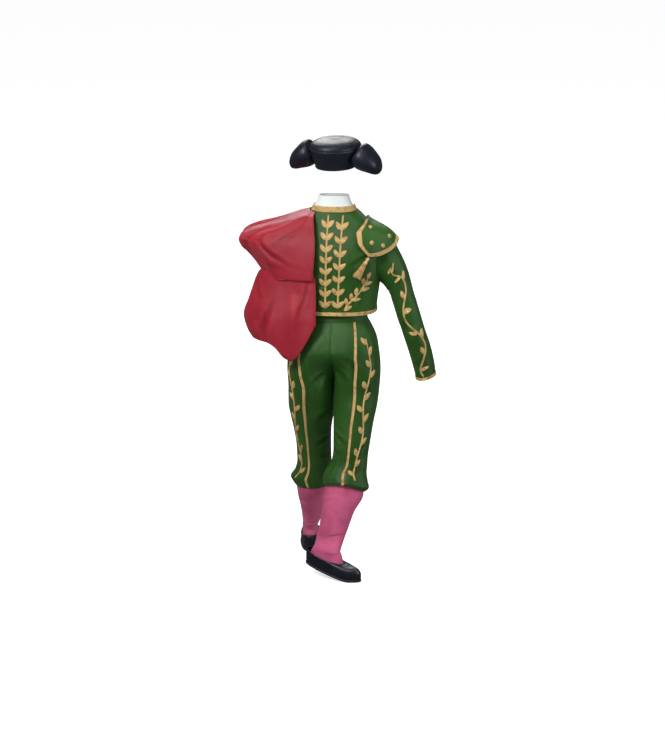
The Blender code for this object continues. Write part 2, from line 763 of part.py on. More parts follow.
def make_tassel():
    """A turned head with a skirt of strands, hung from the right epaulette's lower corner."""
    top, end = np.array(TASSEL_TOP), np.array(TASSEL_END)
    length = np.linalg.norm(end - top)
    down = (end - top) / length
    side = np.cross(down, [0.0, 1.0, 0.0])
    side /= np.linalg.norm(side)
    front = np.cross(side, down)
    sides = 10
    points = [top + down * 0.0]
    for along, radius in TASSEL_HEAD:
        for c in range(sides):
            turn = 2 * np.pi * c / sides
            points.append(top + down * (along + 0.001) + radius * (np.cos(turn) * side + 0.8 * np.sin(turn) * front))
    points.append(top + down * (TASSEL_HEAD[-1][0] + 0.002))
    rows = len(TASSEL_HEAD)
    faces = [(1 + (c + 1) % sides, 1 + c, 0) for c in range(sides)]
    faces += [tuple(i + 1 for i in face) for face in grid_faces(rows, sides, around=True)]
    last = 1 + (rows - 1) * sides
    faces += [(last + c, last + (c + 1) % sides, len(points) - 1) for c in range(sides)]
    head = solid("hombrera_tassel", points, faces, "gold")
    strand_points, strand_faces = [], []
    for n in range(TASSEL_STRANDS):
        turn = 2 * np.pi * n / TASSEL_STRANDS
        spread = np.cos(turn) * side + 0.8 * np.sin(turn) * front
        first = len(strand_points)
        for along, out in ((0.020, 0.0050), (0.040, 0.0105), (0.060, 0.0140), (length, 0.0160)):
            for k in range(3):
                round_ = turn + 2 * np.pi * k / 3
                arm = np.cos(round_) * side + np.sin(round_) * front
                strand_points.append(top + down * along + spread * out + arm * STRAND_RADIUS)
        strand_faces += [tuple(i + first for i in f) for f in grid_faces(4, 3, around=True)]
        strand_faces += [(first + 2, first + 1, first), (first + 9, first + 10, first + 11)]
    strands = solid("tassel_strands", strand_points, strand_faces, "gold")
    strands.hide_render = True
    strands.display_type = "WIRE"
    joined = head.modifiers.new("Strands", "BOOLEAN")
    joined.operation = "UNION"
    joined.solver = "EXACT"
    joined.use_self = True
    joined.object = strands


UNDER_LEVELS = 5
WAISTCOAT_BELOW = [1.050, 1.095, 1.135]
WAISTCOAT_ABOVE = [1.410, 1.436, 1.452]
SHIRT_BELOW = [1.036, 1.090, 1.135]
SHIRT_ABOVE = [1.410, 1.436]


def make_waistcoat_and_shirt():
    heights = torso_rows(WAISTCOAT_BELOW, WAISTCOAT_ABOVE, UNDER_LEVELS)
    shares = [0, 0.25, 0.5, 0.75, 1.0]
    for name, side in SIDES.items():
        grid = front_grid("waistcoat", heights, WAISTCOAT_EDGE, shares, side)
        panel(f"waistcoat_front_{name}", grid, "green", inner=-0.0015)
    shirt_rows = torso_rows(SHIRT_BELOW, SHIRT_ABOVE, UNDER_LEVELS)
    panel("shirt_back", back_grid("shirt", shirt_rows, 8), "white", inner=-0.0012)
    start = np.pi / 2 + armhole_angle(shirt_rows)
    share = np.linspace(0, 1, 9)
    angle = start[:, None] + (2 * np.pi - 2 * start)[:, None] * share
    panel("shirt_front", surface(torso("shirt"), angle, shirt_rows[:, None], -1.0), "white", inner=-0.0012)
    make_shirt_collar()


SHIRT_COLLAR = Table(
    "rise half_width back front",
    [(0.0, 0.0841, 0.0666, 0.0586), (0.020, 0.0765, 0.0635, 0.0584), (0.045, 0.0650, 0.0580, 0.0550),
     (0.066, 0.0590, 0.0545, 0.0520)],
)
SHIRT_COLLAR_FOOT = 1.458
COLLAR_FRONT_DROP = 0.010


def make_shirt_collar():
    def point(angle, rise):
        x, y = oval(
            angle,
            SHIRT_COLLAR.at("half_width", rise),
            SHIRT_COLLAR.at("back", rise),
            SHIRT_COLLAR.at("front", rise),
        )
        drop = COLLAR_FRONT_DROP * (1 - np.cos(angle)) / 2
        return np.stack([x, y, SHIRT_COLLAR_FOOT + rise - drop], -1)

    angle = 2 * np.pi * np.arange(18) / 18
    rise = np.array([0.0, 0.022, 0.044, 0.066])
    points, normals = surface(point, angle[None, :], rise[:, None], -1.0)
    faces = grid_faces(len(rise), len(angle), around=True)
    slab("shirt_collar", points, normals, faces, -CLOTH, 0.0, "white")


def leg_surface(side, half):
    """The back or front half of a leg of the breeches, by share from its outer side, and height."""
    sign = SIDES[side]
    leg = LEGS[side]
    toward = 1.0 if half == "back" else -1.0
    back_rise, inner_rise = HEM_RISE[side]

    def point(share, height):
        quarter = share * np.pi / 2
        fuller = 1 + SQUARENESS * np.sin(2 * quarter) ** 2
        hip_x = HIPS.at("half_width", height) * np.cos(quarter) * fuller
        hip_y = toward * HIPS.at(half, height) * np.sin(quarter) * fuller
        turn = share * np.pi
        middle_x = np.where(height >= CROTCH, leg.at("half_width", height), leg.at("x", height))
        leg_x = middle_x + leg.at("half_width", height) * np.cos(turn)
        leg_y = leg.at("y", height) + toward * leg.at(half, height) * np.sin(turn)
        w = np.clip((height - CROTCH) / (SEAT - CROTCH), 0, 1)
        w = w * w * (3 - 2 * w)
        x = w * hip_x + (1 - w) * leg_x
        y = w * hip_y + (1 - w) * leg_y
        low = np.clip((HEM_RISE_FROM - height) / (HEM_RISE_FROM - leg.rows[0, 0]), 0, None)
        rise = inner_rise * share + (back_rise * np.sin(turn) ** 2 if half == "back" else 0)
        return np.stack([sign * (x + SEAM / 2), y, height + rise * low], -1)

    return point


LEG_ROWS = {
    "right": [0.336, 0.352, 0.375, 0.411, 0.445, 0.500, 0.560, 0.625, 0.695],
    "left": [0.303, 0.320, 0.340, 0.372, 0.422, 0.485, 0.550, 0.620, 0.690],
}
HIP_ROWS = [0.750, 0.785, 0.830, 0.880, 0.935, 0.985, 1.030]
LEG_COLUMNS = {
    "back": [0, 0.15, 0.31, 0.463, 0.537, 0.69, 0.85, 1.0],
    "front": [0, 0.15, 0.31, 0.463, 0.537, 0.65, 0.77, 0.89, 1.0],
}
BRAID_COLUMN = 3


def leg_grid(side, half):
    heights = np.array(LEG_ROWS[side] + HIP_ROWS)
    line = BRAID_LINES.at(f"{half}_{side}", heights)[:, None]
    column = np.array(LEG_COLUMNS[half])[None, :]
    share = np.where(column < 0.5, column * 2 * line, line + (column - 0.5) * 2 * (1 - line))
    sign = SIDES[side] * (1.0 if half == "back" else -1.0)
    points, normals = surface(leg_surface(side, half), share, heights[:, None], sign)
    return seam_normals(points, normals, side)


def seam_normals(points, normals, side):
    """Along the middle seam above the crotch the two legs meet, so the normals there lie in its plane."""
    above = points[:, -1, 2] >= CROTCH - 1e-6
    flat = normals[above, -1] * np.array([0.0, 1.0, 1.0])
    length = np.linalg.norm(flat, axis=-1, keepdims=True)
    normals[above, -1] = flat / np.maximum(length, 1e-9)
    return points, normals


def make_breeches():
    for side in SIDES:
        for half in ("back", "front"):
            grid = leg_grid(side, half)
            panel(f"breeches_{half}_{side}", grid, "green")
            strip = [part[:, BRAID_COLUMN : BRAID_COLUMN + 2] for part in grid]
            braid(f"breeches_braid_{half}_{side}", strip)
    make_waistband()


def make_waistband():
    """The waistband stands on the top edges of the four leg panels, on the same columns."""
    angles = []
    line = BRAID_LINES.at("back_left", HIP_ROWS[-1])
    front_line = BRAID_LINES.at("front_left", HIP_ROWS[-1])
    for mark, here in (("back", line), ("front", front_line)):
        column = np.array(LEG_COLUMNS[mark])
        share = np.where(column < 0.5, column * 2 * here, here + (column - 0.5) * 2 * (1 - here))
        angles.append(np.pi / 2 * (1 - share) if mark == "back" else np.pi / 2 * (1 + share))
    left = np.concatenate([angles[0][::-1], angles[1][1:]])
    angle = np.concatenate([left, 2 * np.pi - left[::-1][1:-1]])

    def point(turn, height):
        x, y = oval(
            turn, HIPS.at("half_width", height), HIPS.at("back", height), HIPS.at("front", height)
        )
        return np.stack([x, y, height + 0 * x], -1)

    heights = np.array([HIP_ROWS[-1], WAIST_TOP])
    points, normals = surface(point, angle[None, :], heights[:, None], -1.0)
    faces = grid_faces(len(heights), len(angle), around=True)
    slab("breeches_waistband", drawn_in(points, "b"), normals, faces, -CLOTH, 0.0, "green")


def foot_frame(side):
    x, y, degrees, lift = FEET[side]
    turn = math.radians(degrees)
    forward = np.array([math.cos(turn), math.sin(turn), 0.0])
    across = np.array([math.sin(turn), -math.cos(turn), 0.0])
    return np.array([x, y, 0.0]), forward, across, lift


def on_foot(side, forward_m, across_m, height_m):
    """A point given in the foot's own directions. A lifted heel bends the foot at its ball."""
    middle, forward, across, lift = foot_frame(side)
    f = np.asarray(forward_m, float)
    rise = lift * np.clip(1 - (f + HEEL_BEHIND) / BALL, 0, 1)
    up = np.array([0.0, 0.0, 1.0])
    return (
        middle
        + f[..., None] * forward
        + np.asarray(across_m, float)[..., None] * across
        + (np.asarray(height_m, float) + rise)[..., None] * up
    )


STOCKING_SIDES = 12


def stocking_rings(side):
    """Rings from the knee down to the ankle, and then along the foot to the toe."""
    angle = 2 * np.pi * np.arange(STOCKING_SIDES) / STOCKING_SIDES
    rings = []
    calf = CALVES[side]
    base = math.radians(180.0 if side == "right" else -90.0)
    sense = -1.0 if side == "right" else 1.0
    for height, x, y, half_length, half_width, turn in calf.rows[::-1]:
        toe = base + sense * math.radians(turn)
        forward = np.array([math.cos(toe), math.sin(toe), 0.0])
        across = np.array([math.sin(toe), -math.cos(toe), 0.0])
        rings.append(
            np.array([x, y, height])
            + half_length * np.cos(angle)[:, None] * forward
            + half_width * np.sin(angle)[:, None] * across
        )
    for _, front_f, front_z, back_f, back_z, half_width in FOOTS[side].rows:
        ahead = (1 + np.cos(angle)) / 2
        forward_m = back_f + (front_f - back_f) * ahead
        rings.append(on_foot(side, forward_m, half_width * np.sin(angle), back_z + (front_z - back_z) * ahead))
    return np.array(rings)


def ring_normals(rings):
    """Unit normals of a tube of rings, pointing out of it."""
    across = np.roll(rings, -1, axis=1) - np.roll(rings, 1, axis=1)
    along = np.gradient(rings, axis=0)
    normals = np.cross(across, along)
    normals /= np.linalg.norm(normals, axis=-1, keepdims=True)
    outward = rings - rings.mean(axis=1, keepdims=True)
    return normals * np.sign((normals * outward).sum(-1, keepdims=True).mean(axis=1, keepdims=True))


STOCKING_CLOTH = 0.0012


def make_stockings():
    for side in SIDES:
        rings = stocking_rings(side)
        normals = ring_normals(rings)
        rows, columns = rings.shape[:2]
        toe = rings[-1].mean(axis=0)
        forward = foot_frame(side)[1]
        points = np.vstack([rings.reshape(-1, 3), toe + forward * 0.004])
        directions = np.vstack([normals.reshape(-1, 3), forward])
        faces = closed_end(grid_faces(rows, columns, around=True), rows, columns)
        slab(f"stocking_{side}", points, directions, faces, -STOCKING_CLOTH, 0.0, "pink")


SHOE_SIDES = 20


def shoe_outline(share):
    """The sole's outline by share round it, from the toe: how far forward, and how far across."""
    turn = 2 * np.pi * share
    along = (1 + np.cos(turn)) / 2
    forward = -HEEL_BEHIND + SHOE_LENGTH * along
    wide = SHOE_WIDTHS.at("half_width", along)
    rounder = np.sign(np.sin(turn)) * np.abs(np.sin(turn)) ** 0.8
    return forward, wide * rounder


OPENING_BACK = -0.0560
OPENING_FRONT = 0.1080
OPENING_HALF_WIDTH = 0.0375


def shoe_opening(share):
    turn = 2 * np.pi * share
    middle = (OPENING_FRONT + OPENING_BACK) / 2
    half = (OPENING_FRONT - OPENING_BACK) / 2
    forward = middle + half * np.cos(turn)
    height = 0.0590 - 0.006 * np.sin(turn) ** 2 + 0.006 * (1 - np.cos(turn)) / 2
    wide = np.sign(np.sin(turn)) * np.abs(np.sin(turn)) ** 0.85
    return forward, OPENING_HALF_WIDTH * wide, height


def make_shoes():
    share = np.arange(SHOE_SIDES) / SHOE_SIDES
    for side in SIDES:
        f, a = shoe_outline(share)
        of, oa, oz = shoe_opening(share)
        rings = []
        for moved, risen in SHOE_RINGS:
            height = SOLE_TOP + SEAM + (oz - SOLE_TOP - SEAM) * risen
            rings.append(on_foot(side, f + (of - f) * moved, a + (oa - a) * moved, height))
        rings = np.array(rings)
        normals = ring_normals(rings)
        faces = grid_faces(len(rings), SHOE_SIDES, around=True)
        slab(f"slipper_upper_{side}", rings, normals, faces, -0.0018, 0.0, "black")
        make_sole(side, f, a)


SOLE_EDGE = 0.002


def make_sole(side, forward, across):
    """A flat sole a little wider than the upper."""
    grow = 1 + SOLE_EDGE / np.maximum(np.hypot(forward - 0.07, across), 0.02)
    f, a = 0.07 + (forward - 0.07) * grow, across * grow
    top = on_foot(side, f, a, SOLE_TOP + 0 * f)
    under = on_foot(side, f, a, 0 * f)
    spine_f = np.linspace(f.min() + 0.02, f.max() - 0.02, 7)
    centres = [on_foot(side, spine_f, 0 * spine_f, level + 0 * spine_f) for level in (SOLE_TOP, 0.0)]
    mesh_points = np.vstack([top, under, centres[0], centres[1]])
    n, m = len(f), len(spine_f)
    faces = []
    nearest = [int(np.abs(spine_f - x).argmin()) for x in f]
    for c in range(n):
        d = (c + 1) % n
        faces += [(c, d, d + n), (c, d + n, c + n)]
        for ring, spine, flip in ((0, 2 * n, False), (n, 2 * n + m, True)):
            p, q = spine + nearest[c], spine + nearest[d]
            new = [(ring + c, p, ring + d)] if p == q else [(ring + c, p, q), (ring + c, q, ring + d)]
            faces += [tuple(reversed(t)) for t in new] if flip else new
    solid(f"slipper_sole_{side}", mesh_points, faces, "black")


HAT_SIDES = 24


def hat_turned(points):
    """Turns the hat with the head, about the head's own middle."""
    c, s = math.cos(HAT_TURN), math.sin(HAT_TURN)
    spin = np.array([[c, s, 0.0], [-s, c, 0.0], [0.0, 0.0, 1.0]])
    middle = np.array([*HAT_MIDDLE, 0.0])
    return (np.asarray(points) @ spin) + middle


def hat_ring(table, level, angle):
    x = table.at("half_width", level) * np.sin(angle)
    y = table.at("half_depth", level) * np.cos(angle)
    return np.stack([x, y, level + 0 * x], -1)


def make_hat():
    angle = 2 * np.pi * np.arange(HAT_SIDES) / HAT_SIDES
    band = np.array([hat_ring(HAT_BAND, h, angle) for h in HAT_BAND.rows[:, 0]])
    normals = ring_normals(band)
    faces = grid_faces(len(band), HAT_SIDES, around=True)
    slab("montera_band", hat_turned(band), hat_turned_way(normals), faces, -0.003, 0.0, "black")
    crown = np.array([hat_ring(HAT_CROWN, h, angle) for h in HAT_CROWN.rows[:, 0]])
    normals = ring_normals(crown)
    normals[0] = normals[0] * [1, 1, 0]
    normals[0] /= np.linalg.norm(normals[0], axis=-1, keepdims=True)
    points = np.vstack([crown.reshape(-1, 3), [0.0, 0.0, HAT_CROWN_TOP]])
    ways = np.vstack([normals.reshape(-1, 3), [0.0, 0.0, 1.0]])
    faces = closed_end(grid_faces(len(crown), HAT_SIDES, around=True), len(crown), HAT_SIDES)
    slab("montera_crown", hat_turned(points), hat_turned_way(ways), faces, -0.003, 0.0, "black")
    for side, sign in SIDES.items():
        make_hat_pad(side, sign)


def hat_turned_way(normals):
    c, s = math.cos(HAT_TURN), math.sin(HAT_TURN)
    return np.asarray(normals) @ np.array([[c, s, 0.0], [-s, c, 0.0], [0.0, 0.0, 1.0]])


PAD_GAP = 0.0012


def make_hat_pad(side, sign):
    """A stuffed pad on the side of the hat. Its root follows the band, and it droops outwards."""
    sides = 16
    turn = 2 * np.pi * np.arange(sides) / sides

    def on_band(up, along):
        height = HAT_PAD_HEIGHT + up
        half_width = HAT_BAND.at("half_width", height)
        half_depth = HAT_BAND.at("half_depth", height)
        x = half_width * np.sqrt(1 - (along / half_depth) ** 2)
        return x, along, height

    points = []
    root = HAT_PAD.rows[0]
    x, y, z = on_band(np.array([0.0]), np.array([0.0]))
    points.append([x[0] + PAD_GAP, 0.0, z[0]])
    for share in (0.5, 1.0):
        x, y, z = on_band(root[2] * share * np.cos(turn), root[3] * share * np.sin(turn))
        points += np.stack([x + PAD_GAP, y, z], -1).tolist()
    widest = float(HAT_BAND.at("half_width", HAT_PAD_HEIGHT))
    for out, drop, half_height, half_depth in HAT_PAD.rows[1:]:
        up = half_height * np.cos(turn)
        along = half_depth * np.sin(turn)
        bx, by, bz = on_band(np.clip(up, -0.044, 0.029), along)
        follow = max(0.0, 1 - out / 0.05)
        x = (bx + PAD_GAP + 0.004) * follow + (widest + out) * (1 - follow) + out * follow
        points += np.stack([x, by + 0 * x, HAT_PAD_HEIGHT + up - drop], -1).tolist()
    tip = HAT_PAD.rows[-1]
    points.append([widest + tip[0] + 0.002, 0.0, HAT_PAD_HEIGHT - tip[1]])
    rings = 2 + len(HAT_PAD.rows) - 1
    faces = [(1 + (c + 1) % sides, 1 + c, 0) for c in range(sides)]
    faces += [tuple(i + 1 for i in face) for face in grid_faces(rings, sides, around=True)]
    last = 1 + (rings - 1) * sides
    faces += [(last + c, last + (c + 1) % sides, len(points) - 1) for c in range(sides)]
    placed = hat_turned(np.array(points) * np.array([sign, 1.0, 1.0]))
    solid(f"montera_pad_{side}", placed, faces, "black")


def fold_depth(folds, around, height):
    """The sum of the cape's folds at each point: soft ridges and troughs along slanting lines."""
    depth = 0 * around
    for around_top, height_top, around_low, height_low, width, size in folds:
        share = np.clip((height_top - height) / (height_top - height_low), 0, 1)
        line = around_top + (around_low - around_top) * share
        fade = np.clip(share * 4, 0, 1) * np.clip((1.15 - share) * 4, 0, 1)
        depth = depth + size * fade * np.exp(-(((around - line) / width) ** 2))
    return depth


def cape_surface(table, folds):
    """The cape by share round the shoulder, from its back edge to its front edge, and height."""

    def plain(around, height):
        turn = around * np.pi
        fuller = 1 + SQUARENESS * np.sin(2 * turn) ** 2
        blend = (1 - np.cos(turn)) / 2
        inner = (1 - blend) * table.at("inner_back", height) + blend * table.at("inner_front", height)
        reach = np.where(np.cos(turn) > 0, table.at("back", height), table.at("front", height))
        x = inner + (table.at("out", height) - inner) * np.sin(turn) * fuller
        y = reach * np.cos(turn) * fuller
        return np.stack([x, y, height + 0 * x], -1)

    def folded(around, height):
        points, normals = surface(plain, around, height, -1.0)
        edge = np.clip(np.minimum(around, 1 - around) * 12, 0, 1)
        found = points + normals * (fold_depth(folds, around, height) * edge)[..., None]
        rest, out = surface(torso(), np.arctan2(found[..., 0], found[..., 1]), height, -1.0)
        share = np.clip((height - NECK_REST) / (CAPE_TOP - NECK_REST), 0, 1)[..., None]
        return (1 - share) * found + share * (rest + out * NECK_LIFT)

    return folded


def cape_lower_surface():
    """The lower cape. Where the upper one covers it, it lies close under that."""
    own = cape_surface(CAPE_LOWER, LOWER_FOLDS)
    upper = cape_surface(CAPE_UPPER, UPPER_FOLDS)

    def point(around, height):
        cover, out = surface(upper, around, height, -1.0)
        share = np.clip((height - UPPER_HEM + COVER_BLEND) / COVER_BLEND, 0, 1)[..., None]
        share = share * share * (3 - 2 * share)
        return share * (cover - out * COVER_GAP) + (1 - share) * own(around, height)

    return point


# The neck edge of the cape lies on the jacket
CAPE_TOP = 1.458
NECK_REST = 1.4475
NECK_LIFT = 0.0053
UPPER_HEM = 1.238
COVER_BLEND = 0.030
COVER_GAP = CAPE_CLOTH + 0.0012
CAPE_COLUMNS = 17
CAPE_LOWER_ROWS = [1.300, 1.262, 1.238, 1.224, 1.202]
CAPE_LOWER_LEVELS = 6


def make_cape():
    around = np.linspace(0, 1, CAPE_COLUMNS + 1)
    heights = CAPE_UPPER.rows[1:, 0]
    upper = surface(cape_surface(CAPE_UPPER, UPPER_FOLDS), around[None, :], heights[:, None], -1.0)
    panel("cape_upper", upper, "red", edges="", inner=-CAPE_CLOTH)
    hem = CAPE_HEM.at("height", around)
    rows = [0 * around + h for h in CAPE_LOWER_ROWS]
    last = CAPE_LOWER_ROWS[-1]
    rows += [last + (hem - last) * (k + 1) / CAPE_LOWER_LEVELS for k in range(CAPE_LOWER_LEVELS)]
    heights = np.array(rows)[::-1]
    spread = around[None, :] + 0 * heights
    lower = surface(cape_lower_surface(), spread, heights, -1.0)
    panel("cape_lower", lower, "red", edges="", inner=-CAPE_CLOTH)


VINE_LIFT = 0.0018
BACK_VINE_LIFT = 0.0007
SLEEVE_VINE_LIFT = 0.0014
VINE_THICK = 0.0016
LEAF_LENGTH = 0.030
LEAF_WIDTH = 0.0155
STEM_WIDTH = 0.0075


def vine(name, place, stem, leaves, sign, lift=VINE_LIFT):
    """A gold sprig laid on a surface. place(a, b) is the surface in flat metres; stem is its middle line.

    leaves gives, for each leaf, the stem segment it grows from, its side and its lean in degrees.
    """
    stem = np.array(stem, float)
    way = np.gradient(stem, axis=0)
    way /= np.linalg.norm(way, axis=1, keepdims=True)
    across = np.stack([way[:, 1], -way[:, 0]], -1)
    taper = np.linspace(1.0, 0.6, len(stem))[:, None]
    right = stem + across * STEM_WIDTH / 2 * taper
    left = stem - across * STEM_WIDTH / 2 * taper
    flat = [*left, *right]
    n = len(stem)
    faces = []
    for k in range(n - 1):
        faces += [(k, n + k, n + k + 1), (k, n + k + 1, k + 1)]
    for segment, side, lean in leaves:
        first, second = (n + segment, n + segment + 1) if side > 0 else (segment, segment + 1)
        base = (flat[first] + flat[second]) / 2
        turn = math.radians(lean) * -side
        ahead = way[segment]
        aim = np.array(
            [
                ahead[0] * math.cos(turn) - ahead[1] * math.sin(turn),
                ahead[0] * math.sin(turn) + ahead[1] * math.cos(turn),
            ]
        )
        wide = np.array([aim[1], -aim[0]]) * LEAF_WIDTH / 2
        at = len(flat)
        tip = base + aim * LEAF_LENGTH
        half = base + aim * LEAF_LENGTH * 0.45
        flat += [half + wide, tip - aim * 0.004 + wide * 0.5, tip - wide * 0.3, half - wide]
        ring = [first, at, at + 1, at + 2, at + 3, second]
        if side < 0:
            ring = [first, at + 3, at + 2, at + 1, at, second]
        new = [(0, 1, 4), (1, 2, 3), (1, 3, 4), (0, 4, 5)]
        new = [tuple(ring[k] for k in face) for face in new]
        faces += new if side > 0 else [tuple(reversed(face)) for face in new]
    flat = np.array(flat)
    points, normals = surface(place, flat[:, 0], flat[:, 1], sign)
    slab(name, points, normals, faces, lift, lift + VINE_THICK, "gold")


def on_back(x, height):
    """The jacket's back by distance from its middle and height."""
    half_width = JACKET.at("half_width", height)
    angle = np.arcsin(np.clip(x / half_width, -0.98, 0.98))
    for _ in range(4):
        fuller = 1 + SQUARENESS * np.sin(2 * angle) ** 2
        angle = np.arcsin(np.clip(x / half_width / fuller, -0.98, 0.98))
    return torso()(angle, height)


def make_back_vines():
    for name, foot, head, pairs in (("left", 0.023, 0.014, 8), ("right", -0.026, -0.043, 7)):
        heights = np.linspace(1.092, 1.452, 2 * pairs + 1)
        xs = foot + (head - foot) * (heights - heights[0]) / (heights[-1] - heights[0])
        leaves = [(2 * k, side, 40) for k in range(pairs) for side in (-1, 1)]
        vine(f"vine_back_{name}", on_back, list(zip(xs, heights)), leaves, -1.0, BACK_VINE_LIFT)
    sprig = [(-0.053, 1.082), (-0.062, 1.103), (-0.080, 1.122), (-0.098, 1.140), (-0.114, 1.160),
             (-0.128, 1.182), (-0.141, 1.206)]
    leaves = [(k, side, 34) for k, side in ((0, -1), (2, -1), (2, 1), (3, 1), (4, -1), (5, 1), (5, -1))]
    vine("vine_back_sprig", on_back, sprig, leaves, -1.0, BACK_VINE_LIFT)


def on_right_sleeve(across, ring):
    """The back of the right sleeve by distance from its middle line, and by ring."""
    table = SLEEVE_RIGHT
    depth = table.at("half_depth", ring)
    reach = 0.5 * np.hypot(
        table.at("outer_x", ring) - table.at("inner_x", ring),
        table.at("outer_z", ring) - table.at("inner_z", ring),
    )
    angle = np.pi / 2 + across / ((depth + reach) / 2)
    return sleeve_surface("right")(angle, ring)


RING_LENGTH = 0.075
# Leaves of the sleeve's sprig: step of the stem, side, 1 being towards the body, and lean in degrees
SLEEVE_LEAVES = [
    (1, -1, 66), (4, 1, 38), (7, -1, 38), (8, 1, 44), (12, -1, 66), (14, 1, 38), (17, -1, 38), (18, 1, 44),
    (21, -1, 60), (22, 1, 50),
]


def sleeve_stem(ring):
    """How far the stem stands from the sleeve's middle line. It winds, and leans outwards at its top."""
    return -0.011 - 0.024 * math.cos(1.963 * (ring - 3.4)) - 0.020 * max(0.0, 2.6 - ring)


def make_sleeve_vine():
    """The sprig down the back of the right sleeve. Its flat height is minus the ring times a ring's length."""

    def place(across, down):
        return on_right_sleeve(across, np.clip(-down / RING_LENGTH, 0.3, 8.9))

    rings = np.linspace(8.60, 1.60, 24)
    stem = [(sleeve_stem(r), -r * RING_LENGTH) for r in rings]
    vine("vine_sleeve", place, stem, SLEEVE_LEAVES, -1.0, SLEEVE_VINE_LIFT)


LEG_REACH = 0.27
VINE_SHARE = {"right": 0.65, "left": 0.56}


def make_leg_vines():
    """The sprig up the outer side panel of each leg, behind the side seam."""
    for side, sign in SIDES.items():
        leg = LEGS[side]
        walk = leg_surface(side, "back")
        share = VINE_SHARE[side]

        def place(across, height, walk=walk, share=share, line=f"back_{side}"):
            middle = BRAID_LINES.at(line, height) * share
            return walk(np.clip(middle + across / LEG_REACH, 0.005, 0.995), height)

        low = leg.rows[0, 0] + 0.042
        heights = np.linspace(low, 0.965, 27)
        stem = [(0.010 * math.sin(24 * (h - low)), h) for h in heights]
        leaves = [(k, 1 if k % 4 == 1 else -1, 36) for k in range(1, 26, 2)]
        vine(f"vine_leg_{side}", place, stem, leaves, sign)


def main():
    clear_scene()
    make_jacket()
    make_sleeves()
    make_hombreras()
    make_tassel()
    make_waistcoat_and_shirt()
    make_breeches()
    make_stockings()
    make_shoes()
    make_hat()
    make_cape()
    make_back_vines()
    make_sleeve_vine()
    make_leg_vines()


main()
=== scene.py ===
"""Looks of a matador costume: satin, gold embroidery, silk, knit, leather and the hat's short pile.

Every piece is made again, finer, on the same surfaces as its solid. Heights in the tables are above the
soles, in metres, and the meshes are lowered so that the origin is at the wearer's shoulders.
"""

import math

import bpy
import numpy as np
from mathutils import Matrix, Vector


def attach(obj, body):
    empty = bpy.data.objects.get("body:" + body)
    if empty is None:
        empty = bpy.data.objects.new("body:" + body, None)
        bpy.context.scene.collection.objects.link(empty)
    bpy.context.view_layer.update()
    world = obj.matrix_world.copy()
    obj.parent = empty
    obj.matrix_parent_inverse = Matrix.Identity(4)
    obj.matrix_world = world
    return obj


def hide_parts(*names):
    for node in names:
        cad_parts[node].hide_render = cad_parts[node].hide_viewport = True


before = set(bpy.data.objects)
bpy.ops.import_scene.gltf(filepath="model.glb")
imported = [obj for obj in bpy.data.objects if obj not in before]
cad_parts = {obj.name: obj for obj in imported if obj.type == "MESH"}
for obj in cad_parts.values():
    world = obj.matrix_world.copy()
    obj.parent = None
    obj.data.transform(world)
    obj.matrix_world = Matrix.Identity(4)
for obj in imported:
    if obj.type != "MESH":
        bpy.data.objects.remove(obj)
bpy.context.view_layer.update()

HOLD_HEIGHT = 1.44
SEAM = 0.0003
STEP = 1e-4
# Thickness of each material
CLOTH = 0.002
CAPE_CLOTH = 0.003
PADDED_CLOTH = 0.004
WAISTCOAT_CLOTH = 0.0015
SHIRT_CLOTH = 0.0012
STOCKING_CLOTH = 0.0012
SHOE_LEATHER = 0.0018
HAT_FELT = 0.003
# The body's main heights, and the armholes
ARMHOLE_MIDDLE = 1.275
ARMHOLE_HALF_HEIGHT = 0.100
ARMHOLE_HALF_ANGLE = math.radians(30)
UNDER_ARMHOLE = 1.168
OVER_ARMHOLE = 1.382
NECK = 1.462
CHEST_LOW = 1.240
WAIST_TOP = 1.095
SEAT = 0.915
CROTCH = 0.75
SQUARENESS = 0.07
OVAL_NAMES = ("half_width", "back", "front")


def eased(share):
    """The share with a soft start and end."""
    return share * share * (3 - 2 * share)


def curve(values, slopes, low, s, span=1.0):
    """A smooth curve with the given slopes, at share s of the span between each low value and the next."""
    return (
        (1 + 2 * s) * (1 - s) ** 2 * values[low]
        + s * (1 - s) ** 2 * span * slopes[low]
        + eased(s) * values[low + 1]
        - s * s * (1 - s) * span * slopes[low + 1]
    )


def unit(vectors):
    return vectors / np.linalg.norm(vectors, axis=-1, keepdims=True)


def circle(count):
    """Angles of evenly spaced places round a ring."""
    return 2 * np.pi * np.arange(count) / count


def spokes(turn, side, up):
    """Directions round a ring at those angles, from its side direction towards its up direction."""
    return np.cos(turn)[:, None] * side + np.sin(turn)[:, None] * up


class Table:
    """Rows of named columns. Between rows, a column follows a smooth curve along the first one."""

    def __init__(self, names, rows):
        self.names = names.split()
        self.rows = np.array(sorted(rows), float)
        keys, values = self.rows[:, 0], self.rows
        steps = np.diff(values, axis=0) / np.diff(keys)[:, None]
        gentlest = np.minimum(np.abs(steps[:-1]), np.abs(steps[1:]))
        same_way = steps[:-1] * steps[1:] > 0
        self.slopes = np.gradient(values, keys, axis=0)
        limit = np.where(same_way, 3 * gentlest, 0)
        self.slopes[1:-1] = np.clip(self.slopes[1:-1], -limit, limit)

    def at(self, name, key):
        keys = self.rows[:, 0]
        column = self.names.index(name)
        key = np.asarray(key, float)
        low = np.clip(np.searchsorted(keys, key) - 1, 0, len(keys) - 2)
        span = keys[low + 1] - keys[low]
        s = np.clip((key - keys[low]) / span, 0, 1)
        return curve(self.rows[:, column], self.slopes[:, column], low, s, span)


